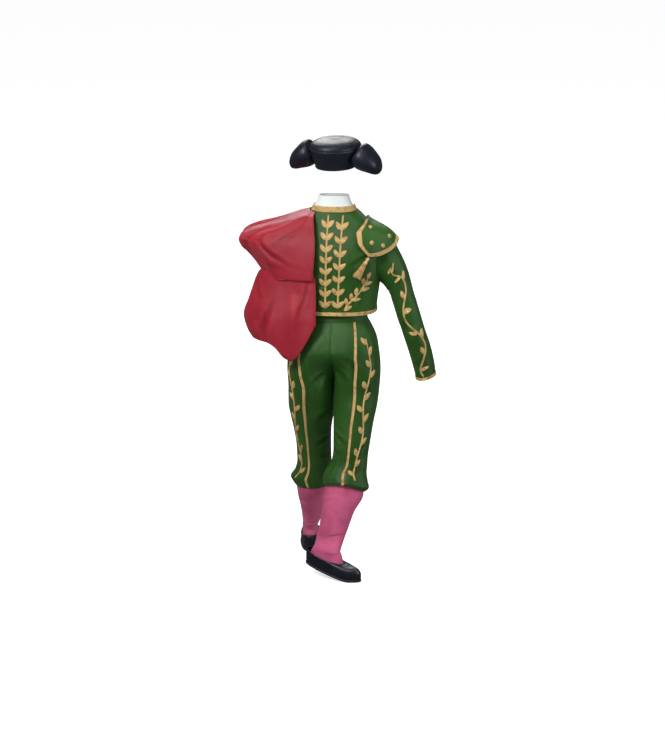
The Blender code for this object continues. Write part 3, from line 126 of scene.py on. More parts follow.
# Outer surface of the jacket, from its hem to the neck
JACKET = Table(
    "height half_width back front",
    [
        (1.050, 0.166, 0.112, 0.118),
        (1.110, 0.172, 0.116, 0.122),
        (1.160, 0.179, 0.121, 0.126),
        (1.220, 0.186, 0.126, 0.130),
        (1.280, 0.190, 0.128, 0.128),
        (1.340, 0.190, 0.122, 0.114),
        (1.375, 0.180, 0.112, 0.100),
        (1.405, 0.156, 0.100, 0.088),
        (1.430, 0.126, 0.089, 0.078),
        (1.448, 0.104, 0.080, 0.070),
        (1.462, 0.087, 0.072, 0.062),
    ],
)
# How far each layer's outer surface is inside the jacket's, and how far outside the waistband's
LAYERS = {"waistcoat": (0.0044, 0.0059), "shirt": (0.0115, -0.0080)}
# Outer surface of the breeches over the hips
HIPS = Table(
    "height half_width back front",
    [
        (1.095, 0.1290, 0.0980, 0.0950),
        (1.030, 0.1325, 0.1010, 0.0960),
        (1.000, 0.1480, 0.1120, 0.1000),
        (0.958, 0.1670, 0.1240, 0.1040),
        (0.900, 0.1780, 0.1340, 0.1070),
        (0.850, 0.1840, 0.1360, 0.1080),
        (0.800, 0.1850, 0.1340, 0.1070),
        (0.750, 0.1810, 0.1300, 0.1050),
    ],
)
# Outer surface of each leg of the breeches: its middle, half width and half depths
LEG_NAMES = "height x half_width y back front"
UPPER_LEG = [
    (0.920, 0.0890, 0.0890, 0.003, 0.125, 0.105),
    (0.820, 0.0925, 0.0925, 0.003, 0.118, 0.104),
    (0.750, 0.0905, 0.0905, 0.003, 0.105, 0.100),
]
LEG_RIGHT = Table(
    LEG_NAMES,
    UPPER_LEG
    + [
        (0.676, 0.0870, 0.0860, 0.016, 0.096, 0.094),
        (0.610, 0.0805, 0.0795, 0.028, 0.088, 0.088),
        (0.544, 0.0760, 0.0740, 0.040, 0.080, 0.080),
        (0.481, 0.0710, 0.0700, 0.052, 0.072, 0.074),
        (0.441, 0.0650, 0.0740, 0.060, 0.067, 0.070),
        (0.411, 0.0560, 0.0810, 0.065, 0.066, 0.068),
        (0.375, 0.0530, 0.0890, 0.070, 0.069, 0.070),
        (0.352, 0.0550, 0.0920, 0.074, 0.069, 0.070),
        (0.336, 0.0500, 0.0815, 0.078, 0.0625, 0.0625),
    ],
)
LEG_LEFT = Table(
    LEG_NAMES,
    UPPER_LEG
    + [
        (0.670, 0.0920, 0.0905, -0.012, 0.094, 0.092),
        (0.620, 0.0900, 0.0860, -0.025, 0.089, 0.089),
        (0.580, 0.0905, 0.0785, -0.036, 0.083, 0.084),
        (0.510, 0.0880, 0.0710, -0.055, 0.074, 0.076),
        (0.422, 0.0870, 0.0690, -0.078, 0.066, 0.068),
        (0.372, 0.0940, 0.0730, -0.090, 0.067, 0.068),
        (0.340, 0.1040, 0.0810, -0.098, 0.069, 0.069),
        (0.320, 0.1020, 0.0750, -0.101, 0.066, 0.066),
        (0.303, 0.0990, 0.0655, -0.104, 0.0635, 0.0635),
    ],
)
LEGS = {"right": LEG_RIGHT, "left": LEG_LEFT}
SIDES = {"right": -1, "left": 1}
# Where the braids run on each half of a leg, from 0 at the outer side to 1 at the inner edge
BRAID_LINES = Table(
    "height back_right back_left front_right front_left",
    [
        (1.030, 0.570, 0.570, 0.46, 0.46),
        (0.969, 0.634, 0.560, 0.46, 0.46),
        (0.900, 0.660, 0.535, 0.46, 0.46),
        (0.850, 0.600, 0.490, 0.45, 0.46),
        (0.800, 0.530, 0.440, 0.44, 0.46),
        (0.750, 0.490, 0.435, 0.42, 0.45),
        (0.658, 0.500, 0.432, 0.38, 0.44),
        (0.480, 0.515, 0.425, 0.28, 0.44),
        (0.300, 0.520, 0.460, 0.20, 0.44),
    ],
)
# How far a leg's hem rises at the middle of its back and at its inner side
HEM_RISE = {"right": (0.025, 0.030), "left": (0.000, 0.000)}
HEM_RISE_FROM = 0.460
# Sleeves: each ring's inner and outer point and its half depth
SLEEVE_NAMES = "ring inner_x inner_y inner_z outer_x outer_y outer_z half_depth"
SLEEVE_HEAD = [
    (0, 0.186, 0.000, 1.175, 0.186, 0.000, 1.375, 0.060),
    (1, 0.199, 0.000, 1.160, 0.225, 0.000, 1.350, 0.063),
    (2, 0.208, 0.000, 1.147, 0.256, 0.000, 1.300, 0.062),
]
SLEEVE_RIGHT = Table(
    SLEEVE_NAMES,
    SLEEVE_HEAD
    + [
        (3, 0.215, 0.000, 1.138, 0.287, 0.000, 1.232, 0.058),
        (4, 0.226, 0.003, 1.112, 0.313, 0.003, 1.142, 0.053),
        (5, 0.250, 0.008, 1.035, 0.338, 0.008, 1.062, 0.049),
        (6, 0.273, 0.008, 0.968, 0.359, 0.008, 0.992, 0.047),
        (7, 0.293, -0.004, 0.901, 0.380, -0.004, 0.925, 0.045),
        (8, 0.311, -0.022, 0.830, 0.395, -0.022, 0.852, 0.041),
        (9, 0.323, -0.034, 0.776, 0.401, -0.034, 0.796, 0.038),
    ],
)
SLEEVE_LEFT = Table(
    SLEEVE_NAMES,
    SLEEVE_HEAD
    + [
        (3, 0.212, 0.000, 1.126, 0.264, 0.005, 1.240, 0.057),
        (4, 0.216, 0.000, 1.100, 0.288, 0.012, 1.160, 0.052),
        (5, 0.216, -0.010, 1.076, 0.306, 0.028, 1.085, 0.048),
        (6, 0.208, -0.034, 1.064, 0.292, 0.030, 1.012, 0.047),
        (7, 0.192, -0.070, 1.062, 0.252, -0.020, 0.984, 0.045),
        (8, 0.168, -0.108, 1.066, 0.214, -0.076, 0.984, 0.043),
        (9, 0.140, -0.146, 1.071, 0.174, -0.130, 0.994, 0.041),
    ],
)
SLEEVES = {"right": SLEEVE_RIGHT, "left": SLEEVE_LEFT}
# Epaulettes: half spread in degrees about the shoulder line, and lower edge
HOMBRERA_TOP = 1.428
HOMBRERA_SPREAD = Table(
    "down degrees",
    [(0, 24), (0.1, 41), (0.33, 59), (0.55, 60), (0.88, 51), (1, 46)],
)
HOMBRERA_LOWER = Table(
    "across height",
    [(0, 1.345), (0.25, 1.326), (0.5, 1.308), (0.8, 1.295), (1, 1.297)],
)
HOMBRERA_LIFT = 0.0081
HOMBRERA_FLARE = 0.056
# Cape: each level's outermost point and its reach to the back and front
CAPE_NAMES = "height out back front inner_back inner_front"
CAPE_UPPER = Table(
    CAPE_NAMES,
    [
        (1.466, 0.0975, 0.070, 0.060, 0.074, 0.074),
        (1.458, 0.117, 0.084, 0.070, 0.072, 0.074),
        (1.448, 0.140, 0.094, 0.080, 0.070, 0.074),
        (1.434, 0.176, 0.108, 0.096, 0.068, 0.074),
        (1.419, 0.208, 0.119, 0.110, 0.066, 0.074),
        (1.399, 0.263, 0.129, 0.122, 0.064, 0.075),
        (1.380, 0.322, 0.135, 0.132, 0.062, 0.076),
        (1.362, 0.358, 0.139, 0.140, 0.060, 0.077),
        (1.345, 0.370, 0.143, 0.146, 0.060, 0.078),
        (1.320, 0.358, 0.147, 0.152, 0.060, 0.080),
        (1.290, 0.332, 0.150, 0.158, 0.062, 0.082),
        (1.262, 0.309, 0.152, 0.163, 0.064, 0.084),
        (1.238, 0.290, 0.152, 0.166, 0.066, 0.086),
        (1.205, 0.270, 0.151, 0.168, 0.068, 0.090),
    ],
)
CAPE_LOWER = Table(
    CAPE_NAMES,
    [
        (1.262, 0.296, 0.146, 0.157, 0.060, 0.086),
        (1.235, 0.284, 0.145, 0.160, 0.060, 0.088),
        (1.200, 0.297, 0.143, 0.172, 0.058, 0.098),
        (1.148, 0.314, 0.142, 0.190, 0.056, 0.112),
        (1.087, 0.334, 0.145, 0.210, 0.056, 0.130),
        (1.038, 0.346, 0.148, 0.224, 0.056, 0.142),
        (0.985, 0.335, 0.148, 0.228, 0.058, 0.142),
        (0.941, 0.314, 0.146, 0.224, 0.062, 0.138),
        (0.870, 0.292, 0.142, 0.216, 0.066, 0.134),
    ],
)
CAPE_HEM = Table(
    "around height",
    [
        (0.00, 1.030),
        (0.04, 0.955),
        (0.08, 0.905),
        (0.12, 0.880),
        (0.155, 0.892),
        (0.19, 0.924),
        (0.25, 0.936),
        (0.33, 0.946),
        (0.42, 0.948),
        (0.52, 0.952),
        (0.64, 0.938),
        (0.78, 0.915),
        (0.92, 0.912),
        (1.00, 0.935),
    ],
)
# Large folds of the cape: where along it and how high they start and end, width and depth
UPPER_FOLDS = [
    (0.16, 1.470, 0.24, 1.250, 0.060, 0.010),
    (0.30, 1.440, 0.42, 1.300, 0.060, 0.009),
    (0.33, 1.400, 0.30, 1.240, 0.070, -0.013),
    (0.62, 1.440, 0.66, 1.240, 0.070, 0.010),
    (0.80, 1.460, 0.82, 1.240, 0.060, -0.008),
]
LOWER_FOLDS = [
    (0.10, 1.150, 0.17, 0.880, 0.050, 0.011),
    (0.27, 1.080, 0.25, 0.880, 0.040, -0.012),
    (0.40, 1.260, 0.44, 0.940, 0.080, 0.008),
    (0.62, 1.200, 0.58, 0.930, 0.060, -0.010),
    (0.74, 1.200, 0.72, 0.920, 0.050, 0.012),
    (0.86, 1.180, 0.86, 0.920, 0.050, -0.010),
]
# Stockings: middle, half length towards the toe, half width, and how far the toe end is turned
CALF_NAMES = "height x y half_length half_width turn"
CALF_RIGHT = Table(
    CALF_NAMES,
    [
        (0.418, -0.052, 0.068, 0.0680, 0.0530, 0),
        (0.350, -0.050, 0.077, 0.0761, 0.0566, 0),
        (0.312, -0.044, 0.082, 0.0792, 0.0587, 3),
        (0.262, -0.028, 0.092, 0.0660, 0.0540, 8),
        (0.225, -0.018, 0.101, 0.0620, 0.0490, 12),
        (0.190, -0.009, 0.111, 0.0600, 0.0430, 17),
        (0.160, 0.000, 0.119, 0.0590, 0.0370, 22),
    ],
)
CALF_LEFT = Table(
    CALF_NAMES,
    [
        (0.338, 0.099, -0.100, 0.0560, 0.0570, 0),
        (0.303, 0.101, -0.104, 0.0591, 0.0601, 0),
        (0.262, 0.102, -0.122, 0.0600, 0.0580, 0),
        (0.222, 0.103, -0.144, 0.0560, 0.0530, 1),
        (0.180, 0.105, -0.166, 0.0500, 0.0460, 2),
        (0.145, 0.109, -0.183, 0.0470, 0.0400, 4),
        (0.118, 0.114, -0.195, 0.0460, 0.0345, 4),
    ],
)
CALVES = {"right": CALF_RIGHT, "left": CALF_LEFT}
# Foot of a stocking, in the foot's own upright plane: each ring's front and back point and half width
FOOT_NAMES = "ring front_forward front_height back_forward back_height half_width"
FOOT_RIGHT = Table(
    FOOT_NAMES,
    [
        (0, 0.088, 0.102, -0.024, 0.092, 0.0310),
        (1, 0.092, 0.092, -0.040, 0.058, 0.0315),
        (2, 0.096, 0.082, -0.044, 0.022, 0.0315),
        (3, 0.099, 0.064, 0.015, 0.0096, 0.0315),
        (4, 0.105, 0.048, 0.070, 0.0096, 0.0315),
        (5, 0.128, 0.041, 0.122, 0.0100, 0.0305),
        (6, 0.150, 0.033, 0.151, 0.0140, 0.0230),
    ],
)
FOOT_LEFT = Table(
    FOOT_NAMES,
    [
        (0, 0.042, 0.098, -0.044, 0.090, 0.0310),
        (1, 0.056, 0.088, -0.048, 0.060, 0.0315),
        (2, 0.070, 0.077, -0.046, 0.022, 0.0315),
        (3, 0.086, 0.065, 0.015, 0.0096, 0.0320),
        (4, 0.103, 0.052, 0.070, 0.0096, 0.0320),
        (5, 0.128, 0.041, 0.122, 0.0100, 0.0305),
        (6, 0.150, 0.033, 0.151, 0.0140, 0.0230),
    ],
)
FOOTS = {"right": FOOT_RIGHT, "left": FOOT_LEFT}
# Each foot's ankle on the ground, which way its toe points in degrees from +X, and how high the heel is
FEET = {"right": (0.040, 0.134, 158.0, 0.045), "left": (0.120, -0.210, -86.0, 0.0)}
HEEL_BEHIND = 0.062
SHOE_LENGTH = 0.240
BALL = 0.195
SOLE_TOP = 0.009
SHOE_WIDTHS = Table(
    "along half_width",
    [(0, 0.0360), (0.25, 0.0375), (0.5, 0.0400), (0.72, 0.0430), (0.88, 0.0410), (1, 0.0350)],
)
# Slipper's upper: how far each ring has moved from the sole's outline to the opening, and its rise
SHOE_RINGS = [(0.0, 0.0), (-0.03, 0.30), (0.03, 0.62), (0.22, 0.84), (0.55, 0.95), (1.0, 1.0)]
# Hat: ring height, half width and half depth of its band, then of its top
HAT_MIDDLE = (-0.006, -0.004)
HAT_TURN = math.radians(-14)
HAT_BAND = Table(
    "height half_width half_depth",
    [
        (1.628, 0.0740, 0.0940),
        (1.648, 0.0810, 0.1010),
        (1.672, 0.0900, 0.1100),
        (1.692, 0.0960, 0.1160),
        (1.704, 0.0985, 0.1185),
    ],
)
HAT_CROWN = Table(
    "height half_width half_depth",
    [
        (1.7052, 0.0987, 0.1187),
        (1.7180, 0.0950, 0.1150),
        (1.7300, 0.0820, 0.1010),
        (1.7385, 0.0600, 0.0750),
        (1.7435, 0.0300, 0.0380),
    ],
)
HAT_CROWN_TOP = 1.745
# Side pads of the hat, from the band outwards
HAT_PAD = Table(
    "out drop half_height half_depth",
    [
        (0.0000, 0.000, 0.030, 0.050),
        (0.0095, -0.003, 0.047, 0.060),
        (0.0260, 0.000, 0.053, 0.066),
        (0.0470, 0.008, 0.051, 0.064),
        (0.0680, 0.021, 0.043, 0.056),
        (0.0840, 0.030, 0.033, 0.042),
        (0.0930, 0.036, 0.018, 0.024),
    ],
)
HAT_PAD_HEIGHT = 1.674


def surface(function, u, v, sign=1.0):
    """Points and unit normals of function(u, v) on the arrays u and v."""
    u, v = np.broadcast_arrays(np.asarray(u, float), np.asarray(v, float))
    across = function(u + STEP, v) - function(u - STEP, v)
    along = function(u, v + STEP) - function(u, v - STEP)
    return function(u, v), unit(sign * np.cross(across, along))


def fuller(angle):
    """How much a slightly squared oval reaches past a plain one."""
    return 1 + SQUARENESS * np.sin(2 * angle) ** 2


def oval(angle, half_width, back, front):
    """A slightly squared oval. The angle is 0 at the back and grows to the wearer's left."""
    reach = np.where(np.cos(angle) > 0, back, front)
    return half_width * np.sin(angle) * fuller(angle), reach * np.cos(angle) * fuller(angle)


def oval_of(table, angle, key):
    return oval(angle, *(table.at(name, key) for name in OVAL_NAMES))


def body(table):
    """A body surface by angle and height."""

    def point(angle, height):
        x, y = oval_of(table, angle, height)
        return np.stack([x, y, height + 0 * x], -1)

    return point


def torso(layer=None):
    """The jacket's surface, or that of a layer under it which follows the waistband at the waist."""
    if layer is None:
        return body(JACKET)
    under, over = LAYERS[layer]

    def point(angle, height):
        chest, chest_out = surface(body(JACKET), angle, height, -1.0)
        waist, waist_out = surface(body(HIPS), angle, height, -1.0)
        share = eased(np.clip((height - WAIST_TOP) / (CHEST_LOW - WAIST_TOP), 0, 1)[..., None])
        return share * (chest - chest_out * under) + (1 - share) * (waist + waist_out * over)

    return point


def on_side(points, side):
    """Points worked out for the wearer's left, on the named side."""
    return points * np.array([SIDES[side], 1.0, 1.0])


def armhole_angle(height):
    """How far the armhole cuts into a panel at that height."""
    level = np.clip((height - ARMHOLE_MIDDLE) / ARMHOLE_HALF_HEIGHT, -1, 1)
    return ARMHOLE_HALF_ANGLE * np.sqrt(1 - level**2)


def torso_rows(low, high, below, above, levels):
    """Heights of a torso panel's rows, which lie closer at the armhole's two ends."""
    levels = int(levels * FINE)
    turn = np.pi * np.arange(levels + 1) / levels
    armhole = ARMHOLE_MIDDLE - ARMHOLE_HALF_HEIGHT * np.cos(turn)
    return np.array([*steps(low, UNDER_ARMHOLE, below)[:-1], *armhole, *steps(OVER_ARMHOLE, high, above)[1:]])


FRONT_EDGE = Table(
    "height degrees",
    [(1.058, 147), (1.110, 151), (1.200, 154), (1.300, 152), (1.380, 143), (1.430, 128), (1.462, 112)],
)
WAISTCOAT_EDGE = Table(
    "height degrees",
    [(1.030, 179.4), (1.250, 179.4), (1.300, 168), (1.360, 154), (1.420, 138), (1.462, 112)],
)


def back_grid(layer, heights, columns):
    widest = np.pi / 2 - armhole_angle(heights)
    share = np.linspace(-1, 1, columns + 1)
    return surface(torso(layer), widest[:, None] * share, heights[:, None], -1.0)


def front_grid(layer, heights, edge, shares, side):
    start = np.pi / 2 + armhole_angle(heights)
    stop = np.radians(edge.at("degrees", heights))
    angle = start[:, None] + (stop - start)[:, None] * np.asarray(shares)
    return surface(torso(layer), side * angle, heights[:, None], -1.0)


COLLAR_HEIGHT = 0.022
COLLAR_RISE = Table(
    "height half_width back front",
    [(0.0, 0.0, 0.0, 0.0), (COLLAR_HEIGHT, -0.0085, -0.0070, -0.0050)],
)
COLLAR_HALF_ANGLE = math.radians(110)


def sleeve_surface(side):
    """A sleeve by angle round it, from 0 along its outer line, and by ring."""
    table = SLEEVES[side]

    def at(line, ring):
        return np.stack([table.at(f"{line}_{k}", ring) for k in "xyz"], -1)

    def both(ring):
        return at("inner", ring) + at("outer", ring)

    def point(angle, ring):
        middle, reach = both(ring) / 2, (at("outer", ring) - at("inner", ring)) / 2
        way = unit(np.cross(reach, both(ring + 0.1) - both(ring - 0.1)))
        depth = table.at("half_depth", ring)[..., None]
        tube = middle + reach * np.cos(angle)[..., None] + way * depth * np.sin(angle)[..., None]
        hole = torso()(
            np.pi / 2 - ARMHOLE_HALF_ANGLE * np.sin(angle),
            ARMHOLE_MIDDLE + ARMHOLE_HALF_HEIGHT * np.cos(angle),
        )
        share = np.clip(1 - np.clip(ring, 0, None), 0, 1)[..., None] ** 2
        return on_side(share * hole + (1 - share) * tube, side)

    return point


def hombrera_surface(side):
    """An epaulette by place across it, from -1 to 1, and share down it."""

    def point(across, down):
        angle = np.pi / 2 - np.radians(HOMBRERA_SPREAD.at("degrees", down)) * across
        lower = HOMBRERA_LOWER.at("height", np.abs(across))
        height = HOMBRERA_TOP + (lower - HOMBRERA_TOP) * down
        base, normal = surface(torso(), angle, height, -1.0)
        lift = HOMBRERA_LIFT + HOMBRERA_FLARE * (1 - across**2) ** 2 * np.clip(down, 0, 1) ** 1.5
        return on_side(base + normal * lift[..., None], side)

    return point


# Where each stud sits across and down the epaulette, and how far it is pressed into the padding
STUDS = [(0.62, 0.22, 0.0015), (0.72, 0.60, 0.0008), (0.25, 0.70, 0.0), (0.52, 0.76, 0.0)]
STUD_RADIUS = 0.009
STUD_RISE = 0.0070
TASSEL_TOP = (-0.1468, 0.1084, 1.2970)
TASSEL_END = (-0.1005, 0.1330, 1.2180)
SHIRT_COLLAR = Table(
    "rise half_width back front",
    [(0.0, 0.0841, 0.0666, 0.0586), (0.020, 0.0765, 0.0635, 0.0584), (0.045, 0.0650, 0.0580, 0.0550),
     (0.066, 0.0590, 0.0545, 0.0520)],
)
SHIRT_COLLAR_FOOT = 1.458
COLLAR_FRONT_DROP = 0.010


def leg_surface(side, half):
    """The back or front half of a leg of the breeches, by share from its outer side, and height."""
    sign = SIDES[side]
    leg = LEGS[side]
    toward = 1.0 if half == "back" else -1.0
    back_rise, inner_rise = HEM_RISE[side]

    def point(share, height):
        quarter = share * np.pi / 2
        quarter = share * np.pi / 2
        hip_x = HIPS.at("half_width", height) * np.cos(quarter) * fuller(quarter)
        hip_y = toward * HIPS.at(half, height) * np.sin(quarter) * fuller(quarter)
        turn = share * np.pi
        middle_x = np.where(height >= CROTCH, leg.at("half_width", height), leg.at("x", height))
        leg_x = middle_x + leg.at("half_width", height) * np.cos(turn)
        leg_y = leg.at("y", height) + toward * leg.at(half, height) * np.sin(turn)
        w = eased(np.clip((height - CROTCH) / (SEAT - CROTCH), 0, 1))
        x = w * hip_x + (1 - w) * leg_x
        y = w * hip_y + (1 - w) * leg_y
        low = np.clip((HEM_RISE_FROM - height) / (HEM_RISE_FROM - leg.rows[0, 0]), 0, None)
        rise = inner_rise * share + (back_rise * np.sin(turn) ** 2 if half == "back" else 0)
        return np.stack([sign * (x + SEAM / 2), y, height + rise * low], -1)

    return point


def foot_frame(side):
    x, y, degrees, lift = FEET[side]
    turn = math.radians(degrees)
    forward = np.array([math.cos(turn), math.sin(turn), 0.0])
    across = np.array([math.sin(turn), -math.cos(turn), 0.0])
    return np.array([x, y, 0.0]), forward, across, lift


def on_foot(side, forward_m, across_m, height_m):
    """A point given in the foot's own directions. A lifted heel bends the foot at its ball."""
    middle, forward, across, lift = foot_frame(side)
    f = np.asarray(forward_m, float)
    rise = lift * np.clip(1 - (f + HEEL_BEHIND) / BALL, 0, 1)
    up = np.array([0.0, 0.0, 1.0])
    return (
        middle
        + f[..., None] * forward
        + np.asarray(across_m, float)[..., None] * across
        + (np.asarray(height_m, float) + rise)[..., None] * up
    )


def ring_normals(rings):
    """Unit normals of a tube of rings, pointing out of it."""
    across = np.roll(rings, -1, axis=1) - np.roll(rings, 1, axis=1)
    normals = unit(np.cross(across, np.gradient(rings, axis=0)))
    out = rings - rings.mean(axis=1, keepdims=True)
    return normals * np.sign((normals * out).sum(-1, keepdims=True).mean(axis=1, keepdims=True))


def swollen(turn, power):
    """A sine that grows faster and stays near its top for longer."""
    return np.sign(np.sin(turn)) * np.abs(np.sin(turn)) ** power


def shoe_outline(share):
    """The sole's outline by share round it, from the toe: how far forward, and how far across."""
    turn = 2 * np.pi * share
    along = (1 + np.cos(turn)) / 2
    return -HEEL_BEHIND + SHOE_LENGTH * along, SHOE_WIDTHS.at("half_width", along) * swollen(turn, 0.8)


OPENING_BACK = -0.0560
OPENING_FRONT = 0.1080
OPENING_HALF_WIDTH = 0.0375
OPENING_HEIGHT = 0.0590
OPENING_DIP = 0.006


def shoe_opening(share):
    """The slipper's opening by share round it: how far forward, how far across, and how high."""
    turn = 2 * np.pi * share
    middle = (OPENING_FRONT + OPENING_BACK) / 2
    half = (OPENING_FRONT - OPENING_BACK) / 2
    height = OPENING_HEIGHT - OPENING_DIP * np.sin(turn) ** 2 + OPENING_DIP * (1 - np.cos(turn)) / 2
    return middle + half * np.cos(turn), OPENING_HALF_WIDTH * swollen(turn, 0.85), height


def hat_turned_way(directions):
    c, s = math.cos(HAT_TURN), math.sin(HAT_TURN)
    return np.asarray(directions) @ np.array([[c, s, 0.0], [-s, c, 0.0], [0.0, 0.0, 1.0]])


def hat_turned(points):
    """Turns the hat with the head, about the head's own middle."""
    return hat_turned_way(points) + np.array([*HAT_MIDDLE, 0.0])


def fold_depth(folds, around, height):
    """The sum of the cape's folds at each point: soft ridges and troughs along slanting lines."""
    depth = 0 * around
    for around_top, height_top, around_low, height_low, width, size in folds:
        share = np.clip((height_top - height) / (height_top - height_low), 0, 1)
        line = around_top + (around_low - around_top) * share
        fade = np.clip(share * 4, 0, 1) * np.clip((1.15 - share) * 4, 0, 1)
        depth = depth + size * fade * np.exp(-(((around - line) / width) ** 2))
    return depth


def cape_surface(table, folds):
    """The cape by share round the shoulder, from its back edge to its front edge, and height."""

    def plain(around, height):
        turn = around * np.pi
        blend = (1 - np.cos(turn)) / 2
        inner = (1 - blend) * table.at("inner_back", height) + blend * table.at("inner_front", height)
        reach = np.where(np.cos(turn) > 0, table.at("back", height), table.at("front", height))
        x = inner + (table.at("out", height) - inner) * np.sin(turn) * fuller(turn)
        return np.stack([x, reach * np.cos(turn) * fuller(turn), height + 0 * x], -1)

    def folded(around, height):
        points, normals = surface(plain, around, height, -1.0)
        edge = np.clip(np.minimum(around, 1 - around) * 12, 0, 1)
        found = points + normals * (fold_depth(folds, around, height) * edge)[..., None]
        rest, out = surface(torso(), np.arctan2(found[..., 0], found[..., 1]), height, -1.0)
        share = np.clip((height - NECK_REST) / (CAPE_TOP - NECK_REST), 0, 1)[..., None]
        return (1 - share) * found + share * (rest + out * NECK_LIFT)

    return folded


def cape_lower_surface():
    """The lower cape. Where the upper one covers it, it lies close under that."""
    own = cape_surface(CAPE_LOWER, LOWER_FOLDS)
    upper = cape_surface(CAPE_UPPER, UPPER_FOLDS)

    def point(around, height):
        cover, out = surface(upper, around, height, -1.0)
        share = eased(np.clip((height - UPPER_HEM + COVER_BLEND) / COVER_BLEND, 0, 1)[..., None])
        return share * (cover - out * COVER_GAP) + (1 - share) * own(around, height)

    return point


# The neck edge of the cape lies on the jacket
CAPE_TOP = 1.458
NECK_REST = 1.4475
NECK_LIFT = 0.0053
UPPER_HEM = 1.238
COVER_BLEND = 0.030
COVER_GAP = CAPE_CLOTH + 0.0012
# Sine of the widest angle that a place on the back may have
NEAR_SIDE = 0.98


def on_back(x, height):
    """The jacket's back by distance from its middle and height."""
    share = x / JACKET.at("half_width", height)
    angle = np.arcsin(np.clip(share, -NEAR_SIDE, NEAR_SIDE))
    for _ in range(4):
        angle = np.arcsin(np.clip(share / fuller(angle), -NEAR_SIDE, NEAR_SIDE))
    return torso()(angle, height)


def on_right_sleeve(across, ring):
    """The back of the right sleeve by distance from its middle line, and by ring."""
    table = SLEEVE_RIGHT
    depth = table.at("half_depth", ring)
    reach = 0.5 * np.hypot(
        table.at("outer_x", ring) - table.at("inner_x", ring),
        table.at("outer_z", ring) - table.at("inner_z", ring),
    )
    angle = np.pi / 2 + across / ((depth + reach) / 2)
    return sleeve_surface("right")(angle, ring)


RING_LENGTH = 0.075
# Leaves of the sleeve's sprig: step of the stem, side, 1 being towards the body, and lean in degrees
SLEEVE_LEAVES = [
    (1, -1, 66), (4, 1, 38), (7, -1, 38), (8, 1, 44), (12, -1, 66), (14, 1, 38), (17, -1, 38),
    (18, 1, 44), (21, -1, 60), (22, 1, 50),
]


def sleeve_stem(ring):
    """How far the stem stands from the sleeve's middle line. It winds, and leans outwards at its top."""
    return -0.011 - 0.024 * math.cos(1.963 * (ring - 3.4)) - 0.020 * max(0.0, 2.6 - ring)


LEG_REACH = 0.27
VINE_SHARE = {"right": 0.65, "left": 0.56}


# Fineness of the finished grids
FINE = 1.0

# Colours, as linear red, green and blue. Beside each stuff's own changes of tone, the light ones of cloth,
# knit, plush and leather also serve as painted highlight, and the dark ones of cloth, knit and gold as
# painted shade
GREEN_DARK = (0.008, 0.036, 0.004)
GREEN = (0.024, 0.105, 0.010)
GREEN_LIGHT = (0.060, 0.190, 0.028)
GOLD_DARK = (0.360, 0.175, 0.050)
GOLD = (0.800, 0.540, 0.200)
GOLD_LIGHT = (0.940, 0.780, 0.420)
RED_DARK = (0.200, 0.005, 0.014)
RED = (0.400, 0.011, 0.028)
RED_LIGHT = (0.560, 0.035, 0.060)
PINK_DARK = (0.330, 0.040, 0.105)
PINK = (0.600, 0.105, 0.235)
PINK_LIGHT = (0.720, 0.210, 0.400)
BLACK_DARK = (0.003, 0.004, 0.009)
BLACK = (0.006, 0.009, 0.018)
BLACK_LIGHT = (0.020, 0.028, 0.045)
WHITE_DARK = (0.620, 0.680, 0.670)
WHITE = (0.830, 0.880, 0.860)
WHITE_LIGHT = (0.900, 0.920, 0.900)


def steps(low, high, count):
    return np.linspace(low, high, max(4, int(count * FINE)))


